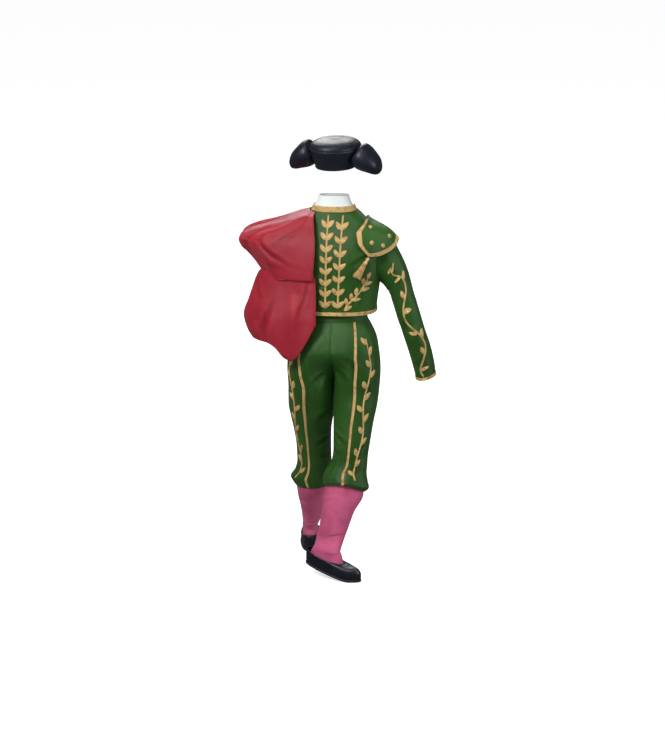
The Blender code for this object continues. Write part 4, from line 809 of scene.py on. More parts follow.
class Nodes:
    """A material's node tree, built by short calls. Its colour is laid on in layers over a ground.

    flat is the cloth's own metres, space its place, and edge and fold its tones: edge is highest near a
    piece's edges and in the low parts of a relief, and fold is painted light on raised creases and painted
    shade in sunken ones.
    """

    def __init__(self, name, ground):
        self.material = bpy.data.materials.new(name)
        self.material.use_nodes = True
        self.tree = self.material.node_tree
        self.shader = self.tree.nodes["Principled BSDF"]
        self.last_bump = None
        self.colour = ground
        self.flat = self.add("ShaderNodeUVMap", uv_map="cloth").outputs["UV"]
        self.space = self.add("ShaderNodeTexCoord").outputs["Object"]
        tones = self.add("ShaderNodeSeparateColor")
        painted = self.add("ShaderNodeAttribute", attribute_name="tone")
        self.join(painted.outputs["Color"], tones.inputs["Color"])
        # The red channel is the edge tone; the green one carries painted light and shade of creases, above a
        # half on raised places and below it on sunken ones.
        self.edge, self.crease_light_shade = tones.outputs["Red"], tones.outputs["Green"]

    def add(self, kind, **settings):
        node = self.tree.nodes.new(kind)
        for key, value in settings.items():
            setattr(node, key, value)
        return node

    def join(self, source, target):
        self.tree.links.new(source, target)

    def mapped(self, scale, turn=0.0):
        node = self.add("ShaderNodeMapping")
        node.inputs["Scale"].default_value = scale
        node.inputs["Rotation"].default_value[2] = turn
        self.join(self.flat, node.inputs["Vector"])
        return node.outputs["Vector"]

    def noise(self, where, scale, detail=3.0):
        node = self.add("ShaderNodeTexNoise")
        node.inputs["Scale"].default_value = scale
        node.inputs["Detail"].default_value = detail
        node.inputs["Roughness"].default_value = 0.55
        self.join(where, node.inputs["Vector"])
        return node.outputs["Fac"]

    def cells(self, feature, scale):
        node = self.add("ShaderNodeTexVoronoi", feature=feature)
        node.inputs["Scale"].default_value = scale
        self.join(self.space, node.inputs["Vector"])
        return node.outputs["Distance"]

    def waves(self, where, scale, direction, distortion=0.0):
        node = self.add("ShaderNodeTexWave", wave_type="BANDS", bands_direction=direction)
        node.inputs["Scale"].default_value = scale
        node.inputs["Distortion"].default_value = distortion
        node.inputs["Detail"].default_value = 1.0
        self.join(where, node.inputs["Vector"])
        return node.outputs["Fac"]

    def spread(self, value, low, high, out_low=0.0, out_high=1.0):
        node = self.add("ShaderNodeMapRange")
        for key, number in zip(("From Min", "From Max", "To Min", "To Max"), (low, high, out_low, out_high)):
            node.inputs[key].default_value = number
        self.join(value, node.inputs["Value"])
        return node.outputs["Result"]

    def maths(self, operation, a, b):
        node = self.add("ShaderNodeMath", operation=operation)
        self.join(a, node.inputs[0])
        self.join(b, node.inputs[1])
        return node.outputs["Value"]

    def layer(self, value, limits, colour):
        """Lays a colour over what is there, as far as the value says when it is spread by the limits."""
        share = self.spread(value, *limits)
        node = self.add("ShaderNodeMix", data_type="RGBA")
        self.join(share, node.inputs["Factor"])
        colours = {s.name: s for s in node.inputs if s.type == "RGBA"}
        if isinstance(self.colour, tuple):
            colours["A"].default_value = (*self.colour, 1.0)
        else:
            self.join(self.colour, colours["A"])
        colours["B"].default_value = (*colour, 1.0)
        self.colour = [s for s in node.outputs if s.type == "RGBA"][0]

    def bump(self, height, distance, strength):
        node = self.add("ShaderNodeBump")
        node.inputs["Strength"].default_value = strength
        node.inputs["Distance"].default_value = distance
        self.join(height, node.inputs["Height"])
        if self.last_bump is not None:
            self.join(self.last_bump, node.inputs["Normal"])
        self.last_bump = node.outputs["Normal"]

    def done(self, broad, smooth, rough, **fixed):
        """The finished material. Its roughness follows a broad noise between the two given values."""
        self.join(self.colour, self.shader.inputs["Base Color"])
        self.join(self.spread(broad, 0.3, 0.7, smooth, rough), self.shader.inputs["Roughness"])
        for key, value in fixed.items():
            self.shader.inputs[key.replace("_", " ")].default_value = value
        self.join(self.last_bump, self.shader.inputs["Normal"])
        return self.material


def cloth_material(name, colours, thread, twill, roughness, **fixed):
    """Woven cloth. thread is the weave's pitch, and twill turns its second set of ribs."""
    dark, mid, light = colours
    nodes = Nodes(name, dark)
    broad = nodes.noise(nodes.space, 5.0, 1.5)
    streaks = nodes.noise(nodes.mapped((260.0, 14.0, 1.0)), 1.0, 2.0)
    ribs = 1.0 / thread / 6.283 * 2.0
    warp = nodes.waves(nodes.flat, ribs, "X")
    weft = nodes.waves(nodes.mapped((1.0, 1.0, 1.0), twill), ribs, "Y", 0.4)
    nodes.layer(broad, (0.20, 0.80, 0.25, 1.0), mid)
    # Painted highlight on raised creases and painted shade in sunken ones.
    nodes.layer(nodes.crease_light_shade, (0.5, 1.0), light)
    nodes.layer(nodes.crease_light_shade, (0.5, 0.0, 0.0, 0.8), dark)
    nodes.layer(streaks, (0.45, 0.80, 0.0, 0.3), light)
    nodes.layer(nodes.maths("MULTIPLY", warp, weft), (0.0, 1.0, 0.22, 0.0), dark)
    nodes.layer(nodes.edge, (0.0, 1.0, 0.0, 0.45), dark)
    nodes.bump(broad, 0.002, 0.15)
    nodes.bump(streaks, 0.0004, 0.5)
    nodes.bump(nodes.maths("ADD", warp, weft), thread * 0.25, 0.55)
    return nodes.done(broad, roughness - 0.03, roughness + 0.05, **fixed)


def gold_material():
    """Couched metal thread: fine ribs along the flat map's first direction, with worn, browner places."""
    nodes = Nodes("gold_thread", GOLD)
    worn = nodes.noise(nodes.space, 55.0)
    fleck = nodes.noise(nodes.space, 420.0, 2.0)
    thread = nodes.waves(nodes.flat, 330.0, "X", 0.6)
    nodes.layer(worn, (0.50, 0.72), GOLD_DARK)
    nodes.layer(fleck, (0.50, 0.75, 0.0, 0.75), GOLD_LIGHT)
    nodes.layer(thread, (0.35, 0.0, 0.0, 0.65), GOLD_DARK)
    # Painted shade in the low parts of the relief, from the edge tone.
    nodes.layer(nodes.edge, (0.0, 1.0, 0.0, 0.55), GOLD_DARK)
    nodes.bump(thread, 0.0006, 0.8)
    nodes.bump(fleck, 0.0005, 0.3)
    return nodes.done(fleck, 0.36, 0.52, Metallic=0.30, Specular_IOR_Level=0.5)


def knit_material():
    """Silk knit: upright ribs of small stitches."""
    nodes = Nodes("pink_silk_knit", PINK_DARK)
    broad = nodes.noise(nodes.space, 9.0)
    rib = nodes.waves(nodes.flat, 190.0, "X")
    course = nodes.waves(nodes.mapped((1.0, 1.0, 1.0), 0.5), 150.0, "Y", 0.3)
    nodes.layer(broad, (0.3, 0.7), PINK)
    nodes.layer(broad, (0.38, 0.62, 0.35, 0.9), PINK)
    # Painted highlight on raised creases and painted shade in sunken ones.
    nodes.layer(nodes.crease_light_shade, (0.5, 1.0), PINK_LIGHT)
    nodes.layer(nodes.crease_light_shade, (0.5, 0.0), PINK_DARK)
    nodes.layer(rib, (0.4, 0.0, 0.0, 0.35), PINK_DARK)
    nodes.layer(nodes.edge, (0.0, 1.0, 0.0, 0.5), PINK_DARK)
    nodes.bump(rib, 0.0006, 0.6)
    nodes.bump(course, 0.0004, 0.5)
    return nodes.done(
        broad, 0.40, 0.52,
        Sheen_Weight=0.12, Sheen_Roughness=0.4, Sheen_Tint=(1.0, 0.6, 0.8, 1.0), Specular_IOR_Level=0.35,
    )


def plush_material():
    """The hat's short, tight, glossy pile."""
    nodes = Nodes("black_plush", BLACK_DARK)
    broad = nodes.noise(nodes.space, 14.0)
    curl = nodes.cells("SMOOTH_F1", 330.0)
    hair = nodes.noise(nodes.space, 900.0, 2.0)
    nodes.layer(broad, (0.3, 0.7), BLACK)
    # Painted highlight on raised creases and cords.
    nodes.layer(nodes.crease_light_shade, (0.5, 1.0), BLACK_LIGHT)
    nodes.layer(curl, (0.0, 0.6, 0.45, 0.0), BLACK_LIGHT)
    # Painted highlight: the band's and the crown's edges are lighter.
    nodes.layer(nodes.edge, (0.0, 1.0, 0.0, 0.6), BLACK_LIGHT)
    nodes.bump(nodes.spread(curl, 0.0, 0.7, 1.0, 0.0), 0.0008, 0.40)
    nodes.bump(hair, 0.0004, 0.25)
    return nodes.done(broad, 0.36, 0.48, Specular_IOR_Level=0.36)


def leather_material(name, light, roughness):
    """Smooth leather with fine pores, creases and scuffed edges."""
    nodes = Nodes(name, BLACK_DARK)
    broad = nodes.noise(nodes.space, 22.0, 4.0)
    pores = nodes.cells("DISTANCE_TO_EDGE", 620.0)
    nodes.layer(broad, (0.35, 0.7), BLACK)
    # Painted highlight on raised creases.
    nodes.layer(nodes.crease_light_shade, (0.5, 1.0), light)
    nodes.layer(nodes.edge, (0.0, 1.0, 0.0, 0.7), light)
    nodes.bump(nodes.spread(pores, 0.0, 0.25), 0.0002, 0.5)
    nodes.bump(broad, 0.001, 0.3)
    return nodes.done(broad, roughness - 0.06, roughness + 0.10, Specular_IOR_Level=0.6)


MATERIALS = {
    "green": cloth_material(
        "green_satin", (GREEN_DARK, GREEN, GREEN_LIGHT), 0.0009, 0.6, 0.30, Specular_IOR_Level=0.42,
        Sheen_Weight=0.08, Sheen_Roughness=0.35, Sheen_Tint=(0.45, 0.75, 0.35, 1.0),
    ),
    "red": cloth_material(
        "red_cape_silk", (RED_DARK, RED, RED_LIGHT), 0.0012, 0.3, 0.36, Specular_IOR_Level=0.42,
        Sheen_Weight=0.12, Sheen_Roughness=0.40, Sheen_Tint=(1.0, 0.35, 0.40, 1.0),
    ),
    "white": cloth_material(
        "white_cotton", (WHITE_DARK, WHITE, WHITE_LIGHT), 0.0010, 0.0, 0.72, Specular_IOR_Level=0.3,
    ),
    "gold": gold_material(),
    "pink": knit_material(),
    "plush": plush_material(),
    "leather": leather_material("black_leather", BLACK_LIGHT, 0.30),
    "sole": leather_material("black_sole", (0.050, 0.050, 0.055), 0.55),
}
# Each look's slot, and the last word of the names of the pieces that wear it
SLOTS = {
    "green": ("green_satin", "satin"),
    "red": ("red_cape", "silk"),
    "white": ("white_cotton", "cotton"),
    "gold": ("gold_thread", "gold"),
    "pink": ("pink_silk", "knit"),
    "plush": ("black_plush", "plush"),
    "leather": ("black_leather", "leather"),
    "sole": ("black_leather", "leather"),
}
SHARP_EDGE = math.radians(62)
# Tones of edge and of painted crease light and shade where a piece has neither
PLAIN = [0.0, 0.5]


def arc(points, axis):
    """Running length along one axis of a grid, averaged over the other."""
    lengths = np.linalg.norm(np.diff(points, axis=axis), axis=-1).mean(axis=1 - axis)
    return np.concatenate([[0.0], np.cumsum(lengths)])


def carried_on(u):
    """The flat map's values with one more, for the column that closes a ring."""
    return np.append(u, 2 * u[-1] - u[-2])


def next_round(k):
    """Each column's next one, round a ring."""
    return (k + 1) % len(k)


def cells(rows, columns, u, v, around):
    """The corners of each cell of a grid, and their places on the flat map."""
    r, c = np.meshgrid(np.arange(rows - 1), np.arange(columns if around else columns - 1), indexing="ij")
    r, c = r.ravel(), c.ravel()
    low, d = r * columns, (c + 1) % columns
    quads = np.stack([low + c, low + d, low + columns + d, low + columns + c], -1)
    along_u = np.stack([u[c], u[c + 1], u[c + 1], u[c]], -1)
    along_v = np.stack([v[r], v[r], v[r + 1], v[r + 1]], -1)
    return quads, np.stack([along_u, along_v], -1)


def facing(points, quads, out):
    """Whether the cells of a grid face the way that out gives for each of their first corners."""
    a, b, d = (points[quads[:, k]] for k in (0, 1, 3))
    return (np.cross(b - a, d - a) * out).sum() > 0


class Shape:
    """Gathers closed grids of points with their flat map and tones, and makes them one piece."""

    def __init__(self):
        self.points, self.faces, self.maps, self.tones = [], [], [], []
        self.count = 0

    def add_points(self, points, tones):
        """Adds points, and gives the number of the first one."""
        first = self.count
        points = np.asarray(points, float).reshape(-1, 3)
        self.points.append(points)
        self.tones.append(np.broadcast_to(np.asarray(tones, float).reshape(-1, 2), (len(points), 2)))
        self.count += len(points)
        return first

    def add_faces(self, corners, maps, keep=True):
        """Adds faces, turned over unless keep is true."""
        if not keep:
            corners, maps = corners[:, ::-1], maps[:, ::-1]
        self.faces += corners.tolist()
        self.maps.append(np.asarray(maps, float).reshape(-1, 2))

    def slab(self, top, under, u, v, tone, around=False, poles=None):
        """A closed wall between two grids. u and v are the flat map's values along columns and rows.

        poles closes the last row, with one more point for the top and one for the under side.
        """
        rows, columns = top.shape[:2]
        if around:
            u = carried_on(u)
        quads, maps = cells(rows, columns, u, v, around)
        outward = facing(top.reshape(-1, 3), quads, (top - under).reshape(-1, 3)[quads[:, 0]])
        first, second = self.add_points(top, tone), self.add_points(under, tone)
        self.add_faces(quads + first, maps, outward)
        self.add_faces(quads + second, maps, not outward)
        for a, b, ua, ub, level in rims(rows, columns, u, v, around, poles is not None):
            corners = np.stack([first + b, first + a, second + a, second + b], -1)
            maps = np.stack([np.stack([ub, ua, ua, ub], -1), np.full((len(a), 4), level)], -1)
            self.add_faces(corners, maps, outward)
        if poles is not None:
            k = np.arange(columns)
            last = (rows - 1) * columns
            high = v[-1] + 0 * k
            fan_u = np.stack([u[k], u[k] + (u[1] - u[0]), u[k]], -1)
            maps = np.stack([fan_u, np.stack([high, high, high + 0.01], -1)], -1)
            for start, pole, keep in ((first, poles[0], outward), (second, poles[1], not outward)):
                at = self.add_points([pole], [PLAIN])
                fan = np.stack([start + last + k, start + last + next_round(k), at + 0 * k], -1)
                self.add_faces(fan, maps, keep)

    def strand(self, path, radius):
        """A thin closed tube along a path of points, with pointed ends."""
        path = np.asarray(path, float)
        way = unit(np.gradient(path, axis=0))
        side = unit(np.cross(way, [0.31, 0.52, 0.79]))
        up = np.cross(way, side)
        ring = spokes(circle(STRAND_SIDES), side[:, None], up[:, None])
        first = self.add_points(path[:, None] + radius[:, None, None] * ring, [PLAIN])
        ends = self.add_points([path[0], path[-1]], [PLAIN])
        k = np.arange(STRAND_SIDES)
        d = next_round(k)
        for r in range(len(path) - 1):
            low = first + r * STRAND_SIDES
            high = low + STRAND_SIDES
            u = r * STRAND_PITCH
            maps = [[u, 0], [u, 0.001], [u + STRAND_PITCH, 0.001], [u + STRAND_PITCH, 0]]
            self.add_faces(np.stack([high + d, high + k, low + k, low + d], -1), maps * STRAND_SIDES)
        last = first + (len(path) - 1) * STRAND_SIDES
        self.add_faces(np.stack([ends + 0 * k, first + d, first + k], -1), np.zeros((STRAND_SIDES, 3, 2)))
        self.add_faces(np.stack([last + k, last + d, ends + 1 + 0 * k], -1), np.zeros((STRAND_SIDES, 3, 2)))

    def closed(self, rings, tone):
        """A closed solid of rings from one pole to the other."""
        rows, columns = rings.shape[:2]
        first = self.add_points(rings, tone)
        ends = self.add_points([rings[0].mean(axis=0), rings[-1].mean(axis=0)], [WORN])
        quads, maps = cells(rows, columns, carried_on(arc(rings, 1)), arc(rings, 0), True)
        points = rings.reshape(-1, 3)
        keep = facing(points, quads, points[quads[:, 0]] - points.mean(axis=0))
        self.add_faces(quads + first, maps, keep)
        k = np.arange(columns)
        d, last = next_round(k), first + (rows - 1) * columns
        low = np.stack([first + d, first + k, ends + 0 * k], -1)
        high = np.stack([last + k, last + d, ends + 1 + 0 * k], -1)
        self.add_faces(np.concatenate([low, high]), np.zeros((2 * columns, 3, 2)), keep)

    def make(self, node, look):
        """The piece, which stands for the named solid and wears the look's material."""
        slot, ending = SLOTS[look]
        name = f"{node}_{ending}"
        points = np.vstack(self.points) - [0.0, 0.0, HOLD_HEIGHT]
        mesh = bpy.data.meshes.new(name)
        mesh.from_pydata(points.tolist(), [], self.faces)
        layer = mesh.uv_layers.new(name="cloth")
        layer.data.foreach_set("uv", np.vstack(self.maps).ravel())
        tones = np.vstack(self.tones)
        blue_alpha = np.tile([0.0, 1.0], (len(tones), 1))
        shades = np.column_stack([tones, blue_alpha]).astype(np.float32)
        painted = mesh.color_attributes.new("tone", "FLOAT_COLOR", "POINT")
        painted.data.foreach_set("color", shades.ravel())
        mesh.materials.append(MATERIALS[look])
        mesh.shade_smooth()
        mesh.set_sharp_from_angle(angle=SHARP_EDGE)
        piece = bpy.data.objects.new(name, mesh)
        bpy.context.scene.collection.objects.link(piece)
        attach(piece, "root")
        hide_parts(node)
        return piece


def rims(rows, columns, u, v, around, closed):
    """A slab's rims: each one's points in turn, their places along the flat map, and its level there."""
    k = np.arange(columns if around else columns - 1)
    d = (k + 1) % columns
    edges = [(k, d, u[k], u[k + 1], v[0])]
    if not closed:
        last = (rows - 1) * columns
        edges.append((last + d, last + k, u[k + 1], u[k], v[-1]))
    if not around:
        r = np.arange(rows - 1) * columns
        side = r + columns - 1
        left, right = np.full(rows - 1, u[0]), np.full(rows - 1, u[-1])
        edges.append((r + columns, r, left, left, v[0]))
        edges.append((side, side + columns, right, right, v[-1]))
    return edges


def creases(flat_u, flat_v, rows, wrap=False):
    """Height of listed creases over a grid.

    Each row has the start and end as shares of the cloth's width and length, how far the line bows
    aside, its width, and its height, which is below zero for a trough. The last three are in metres.
    """
    u, v = np.meshgrid(flat_u, flat_v)
    wide, long = flat_u[-1], flat_v[-1]
    height = 0 * u
    for u0, v0, u1, v1, bow, width, rise in rows:
        a = np.array([u0 * wide, v0 * long])
        b = np.array([u1 * wide, v1 * long])
        run = b - a
        length = np.hypot(*run)
        du, dv = u - a[0], v - a[1]
        if wrap:
            middle = run[0] / 2
            du = (du - middle + wide / 2) % wide - wide / 2 + middle
        along = (du * run[0] + dv * run[1]) / length**2
        aside = (du * run[1] - dv * run[0]) / length - bow * 4 * along * (1 - along)
        taper = np.clip(np.sin(np.pi * np.clip(along, 0, 1)), 0, 1) ** 1.2
        wide_here = width * (0.6 + 0.5 * np.clip(along, 0, 1))
        trough = np.exp(-((aside / wide_here) ** 2))
        shoulder = np.exp(-(((np.abs(aside) - 1.7 * wide_here) / wide_here) ** 2))
        height += rise * taper * (trough - 0.35 * shoulder)
    return height


def flat_tones(edge):
    """Tones of a piece with an edge tone and no painted crease light or shade. The edge tone is real wear on
    a sole, and painted shade on gold relief and at a stud's foot.
    """
    return np.stack([edge, 0.5 + 0 * edge], -1)


def shell(shape, grid, thick, height=0.0, around=False, poles=None, roll=0.35, edge_reach=0.007):
    """A cloth wall on a grid of points and normals, with rolled edges, raised by height."""
    points, normals = grid
    u, v = arc(points, 1), arc(points, 0)
    height = height + np.zeros(points.shape[:2])
    gaps = [v[:, None]]
    if poles is None:
        gaps.append((v[-1] - v)[:, None])
    if not around:
        gaps += [u[None, :], (u[-1] - u)[None, :]]
    near = np.ones(points.shape[:2])
    for gap in gaps:
        near = np.minimum(near, gap)
    fall = np.exp(-((near / (thick * 0.9)) ** 2)) * thick * roll
    edge = np.clip(1 - near / edge_reach, 0, 1) ** 2
    top = points + normals * (height - fall)[..., None]
    under = points + normals * (height - thick + 0.5 * fall)[..., None]
    # Painted light and shade: raised places get a lighter tone and sunken ones a darker one.
    crease_light_shade = 0.5 + np.clip(height / FULL_FOLD, -0.5, 0.5)
    lifted = None if poles is None else (poles[0], poles[0] - poles[1] * thick)
    shape.slab(top, under, u, v, np.stack([edge, crease_light_shade], -1), around, lifted)


def cloth(node, look, grid, thick, held, rests_on, rows=(), height=0.0, around=False, poles=None, **more):
    """A cloth piece with the listed creases."""
    points = grid[0]
    if rows:
        u, v = arc(points, 1), arc(points, 0)
        near = np.minimum(v, v[-1] - v)[:, None] / CREASE_MARGIN
        if not around:
            near = np.minimum(near, np.minimum(u, u[-1] - u)[None, :] / CREASE_MARGIN)
        tight = np.linalg.norm(np.gradient(points, axis=0), axis=-1)
        tight = np.clip(tight / tight.mean(axis=1, keepdims=True), 0, 1) ** 1.5
        height = creases(u, v, rows, around) * np.clip(near, 0, 1) ** 0.8 * tight
    shape = Shape()
    shell(shape, grid, thick, height, around, poles, **more)
    shape.make(node, look)


# Crease height at which the painted highlight or painted shade is full, and how near an edge a crease fades
FULL_FOLD = 0.012
CREASE_MARGIN = 0.02

# Embroidery: each leaf's length and width, and how high it is stuffed
LEAF_LONG = 0.0330
LEAF_WIDE = 0.0175
LEAF_RISE = 0.0032
STEM_WIDE = 0.0088
STEM_RISE = 0.0026
TWIST_PITCH = 0.0075
# How far gold stands off the cloth: its under side, and the foot of a sprig's and of a braid's relief
GOLD_UNDER = 0.0002
SPRIG_LIFT = 0.0004
BRAID_LIFT = 0.0006
BRAID_PITCH = 0.009
BRAID_END = 0.004
STRAND_SIDES = 4
STRAND_PITCH = 0.004
# Tones of a worn sole
WORN = [0.3, 0.5]


def raised(shape, grid, top, edge):
    """A closed relief whose top stands that far off the surface. edge is its painted shade, darker where the
    relief is low.
    """
    points, normals = grid
    over = points + normals * top[..., None]
    shape.slab(over, points + normals * GOLD_UNDER, arc(points, 1), arc(points, 0), flat_tones(edge))


def relief(shape, place, sign, flat, rise):
    """A raised patch on a surface. flat is a grid of places on it, and rise the height of each."""
    grid = surface(place, flat[..., 0], flat[..., 1], sign)
    # Painted shade: the relief's low places, its sides and the vein, are darker.
    raised(shape, grid, SPRIG_LIFT + rise, np.clip(1 - rise / rise.max() * 1.4, 0, 1))


def leaf(shape, place, sign, base, aim, size):
    """One stuffed leaf with a middle vein, round at its tip."""
    t = np.linspace(0.0, 1.0, 13)
    s = np.linspace(-1.0, 1.0, 9)
    outline = np.sin(np.pi * np.clip(t, 0.02, 0.985) ** 0.85) ** 0.55
    across = np.array([aim[1], -aim[0]])
    bend = 0.05 * LEAF_LONG * np.sin(np.pi * t)
    flat = (
        np.asarray(base)
        + t[:, None, None] * LEAF_LONG * size * aim
        + (s[None, :, None] * outline[:, None, None] * LEAF_WIDE * size / 2 + bend[:, None, None]) * across
    )
    dome = np.clip(1 - np.abs(s) ** 2.6, 0, 1)[None, :] ** 0.5 * outline[:, None] ** 0.7
    vein = 1 - 0.45 * np.exp(-((s / 0.22) ** 2))[None, :] * (1 - t[:, None] ** 3)
    ribs = 1 + 0.05 * np.cos(2 * np.pi * (t[:, None] * 6 + np.abs(s)[None, :] * 1.5))
    relief(shape, place, sign, flat, LEAF_RISE * dome * vein * ribs)


def stem_relief(shape, place, sign, stem):
    """A twisted cord along a flat line of points."""
    t = np.linspace(0, len(stem) - 1, max(8, int(len(stem) * 5 * (1))))
    line = np.stack([np.interp(t, np.arange(len(stem)), stem[:, k]) for k in (0, 1)], -1)
    way = unit(np.gradient(line, axis=0))
    across = np.stack([way[:, 1], -way[:, 0]], -1)
    length = np.concatenate([[0], np.cumsum(np.linalg.norm(np.diff(line, axis=0), axis=1))])
    taper = 1 - 0.25 * length / length[-1]
    s = np.linspace(-1, 1, 7)
    flat = line[:, None] + s[None, :, None] * across[:, None] * (STEM_WIDE / 2 * taper)[:, None, None]
    dome = np.clip(1 - np.abs(s) ** 3, 0, 1)[None, :] ** 0.5
    twist = 1 + 0.16 * np.cos(2 * np.pi * (length[:, None] / TWIST_PITCH + 0.5 * s[None, :]))
    relief(shape, place, sign, flat, STEM_RISE * dome * twist * taper[:, None])


def sprig(node, place, stem, leaves, sign):
    """An embroidered sprig. leaves gives the stem step each leaf grows from, its side, lean and size."""
    shape = Shape()
    stem = np.array(stem, float)
    way = unit(np.gradient(stem, axis=0))
    stem_relief(shape, place, sign, stem)
    for step, side, lean, size in leaves:
        turn = math.radians(lean) * -side
        c, s = math.cos(turn), math.sin(turn)
        aim = np.array([way[step][0] * c - way[step][1] * s, way[step][0] * s + way[step][1] * c])
        leaf(shape, place, sign, stem[step] + aim * 0.002, aim, size)
    shape.make(node, "gold")


def braid_height(s, along, rise, pitch=BRAID_PITCH):
    """A flat braid's height: two twisted edge cords and a plait between them."""
    cord = np.exp(-(((np.abs(s) - 0.78) / 0.20) ** 2))
    plait = np.clip(1 - (np.abs(s) / 0.62) ** 2, 0, 1)
    turn = along / (pitch * 0.55) + 0.7 * np.sign(s) * (np.abs(s) - 0.78)
    twist = 0.5 + 0.5 * np.cos(2 * np.pi * turn)
    down, up = (np.abs(np.cos(np.pi * (along / pitch + slant * s))) for slant in (0.9, -0.9))
    edge = np.clip((1 - np.abs(s)) / 0.14, 0, 1) ** 0.5
    return rise * edge * (0.45 + 0.45 * cord * (0.6 + 0.4 * twist) + 0.5 * plait * (down * up))


def braid(node, grids, rise=0.0028):
    """Braids over grids of points and normals, each across in its columns and along in its rows."""
    shape = Shape()
    for points, normals in grids:
        s = np.linspace(-1, 1, points.shape[1])[None, :]
        along = arc(points, 0)[:, None]
        ends = np.minimum(along, along[-1] - along) / BRAID_END
        height = braid_height(s, along, rise) * np.clip(ends, 0, 1) ** 0.5
        # Painted shade: the braid's low places between its cords are darker.
        raised(shape, (points, normals), BRAID_LIFT + height, np.clip(1 - height / rise * 1.5, 0, 1))
    shape.make(node, "gold")


def turned(grid):
    """The grid with its rows and columns changed over."""
    return [part.transpose(1, 0, 2) for part in grid]


# Creases of the jacket: start and end as shares across and up, bow, width and height in metres
BACK_CREASES = [
    (0.98, 0.58, 0.70, 0.44, 0.010, 0.012, -0.0040),
    (0.96, 0.50, 0.74, 0.30, 0.008, 0.010, -0.0034),
    (0.02, 0.58, 0.30, 0.44, -0.010, 0.012, -0.0040),
    (0.30, 0.05, 0.26, 0.30, 0.004, 0.010, 0.0024),
    (0.74, 0.04, 0.80, 0.28, -0.004, 0.010, 0.0026),
    (0.52, 0.06, 0.49, 0.60, 0.003, 0.014, -0.0016),
    (0.90, 0.92, 0.62, 0.84, 0.006, 0.012, -0.0022),
]
FRONT_CREASES = [
    (0.05, 0.55, 0.55, 0.34, 0.010, 0.012, -0.0036),
    (0.10, 0.42, 0.60, 0.18, 0.006, 0.010, 0.0026),
    (0.60, 0.80, 0.40, 0.52, -0.006, 0.012, -0.0024),
]
SLEEVE_CREASES = {
    "right": [
        (0.30, 0.18, 0.66, 0.30, 0.014, 0.018, -0.0036),
        (0.34, 0.28, 0.66, 0.37, 0.012, 0.017, -0.0026),
        (0.52, 0.45, 0.80, 0.55, 0.012, 0.019, -0.0026),
        (0.24, 0.50, 0.52, 0.57, -0.012, 0.017, -0.0024),
        (0.10, 0.55, 0.34, 0.66, 0.008, 0.016, 0.0024),
        (0.62, 0.62, 0.86, 0.72, 0.008, 0.016, -0.0024),
        (0.20, 0.80, 0.46, 0.88, -0.006, 0.014, -0.0022),
        (0.80, 0.30, 0.98, 0.44, 0.006, 0.015, 0.0022),
    ],
    "left": [
        (0.30, 0.30, 0.62, 0.42, 0.012, 0.012, -0.0042),
        (0.40, 0.48, 0.70, 0.54, 0.010, 0.012, -0.0046),
        (0.36, 0.58, 0.66, 0.60, -0.008, 0.010, -0.0040),
        (0.60, 0.70, 0.86, 0.78, 0.008, 0.011, -0.0030),
        (0.10, 0.55, 0.30, 0.68, 0.008, 0.012, 0.0026),
    ],
}


def make_jacket():
    rows = torso_rows(1.058, NECK, 26, 22, 44)
    sleeves = ["jacket_sleeve_left_satin", "jacket_sleeve_right_satin"]
    grid = back_grid(None, rows, int(120 * FINE))
    cloth("jacket_back", "green", grid, CLOTH, "stretched", sleeves, BACK_CREASES)
    for side, sign in SIDES.items():
        node = f"jacket_front_{side}"
        grid = front_grid(None, rows, FRONT_EDGE, steps(0, 1, 56), sign)
        cloth(node, "green", grid, CLOTH, "hung", ["jacket_back_satin"], FRONT_CREASES)
        strip = front_grid(None, steps(1.062, NECK, 230), FRONT_EDGE, np.linspace(0.87, 0.99, 9), sign)
        braid(f"jacket_front_braid_{side}", [strip])


HEM_LOW = 1.0585
HEM_HIGH = 1.0740


def make_hem_braid():
    """One plaited braid round the hem, from one front edge round the back to the other."""
    stop = np.radians(FRONT_EDGE.at("degrees", HEM_LOW)) * 0.985
    angle = steps(-stop, stop, 560)
    grid = surface(torso(), angle[:, None], np.linspace(HEM_LOW, HEM_HIGH, 9)[None, :], 1.0)
    braid("jacket_hem_braid", [(grid[0], outward(grid))], rise=0.0030)


def outward(grid):
    """The grid's normals turned away from the body's upright middle line."""
    points, normals = grid
    flat = (normals[..., :2] * points[..., :2]).sum()
    return normals if flat > 0 else -normals


COLLAR_BRAID_RISE = 0.0024
COLLAR_BRAID_PITCH = 0.011


def make_jacket_collar():
    """The stiff gold band on the neckline: a corded edge above and below a plaited field."""

    def point(angle, rise):
        reaches = (JACKET.at(name, NECK) + COLLAR_RISE.at(name, rise) for name in OVAL_NAMES)
        x, y = oval(angle, *reaches)
        return np.stack([x, y, NECK + rise + 0 * x], -1)

    angle = steps(-COLLAR_HALF_ANGLE, COLLAR_HALF_ANGLE, 300)
    rise = np.linspace(SEAM, COLLAR_HEIGHT, 15)
    grid = surface(point, angle[:, None], rise[None, :], 1.0)
    points, normals = grid[0], outward(grid)
    s = np.linspace(-1, 1, len(rise))[None, :]
    height = braid_height(s, arc(points, 0)[:, None], COLLAR_BRAID_RISE, COLLAR_BRAID_PITCH)
    # Painted shade: the braid's low places are darker.
    edge = np.clip(1 - height / COLLAR_BRAID_RISE * 1.3, 0, 1)
    shape = Shape()
    over, under = points + normals * height[..., None], points - normals * CLOTH
    shape.slab(over, under, arc(points, 1), arc(points, 0), flat_tones(edge))
    shape.make("jacket_collar", "gold")


CUFF_RINGS = np.linspace(8.74, 8.99, 9)


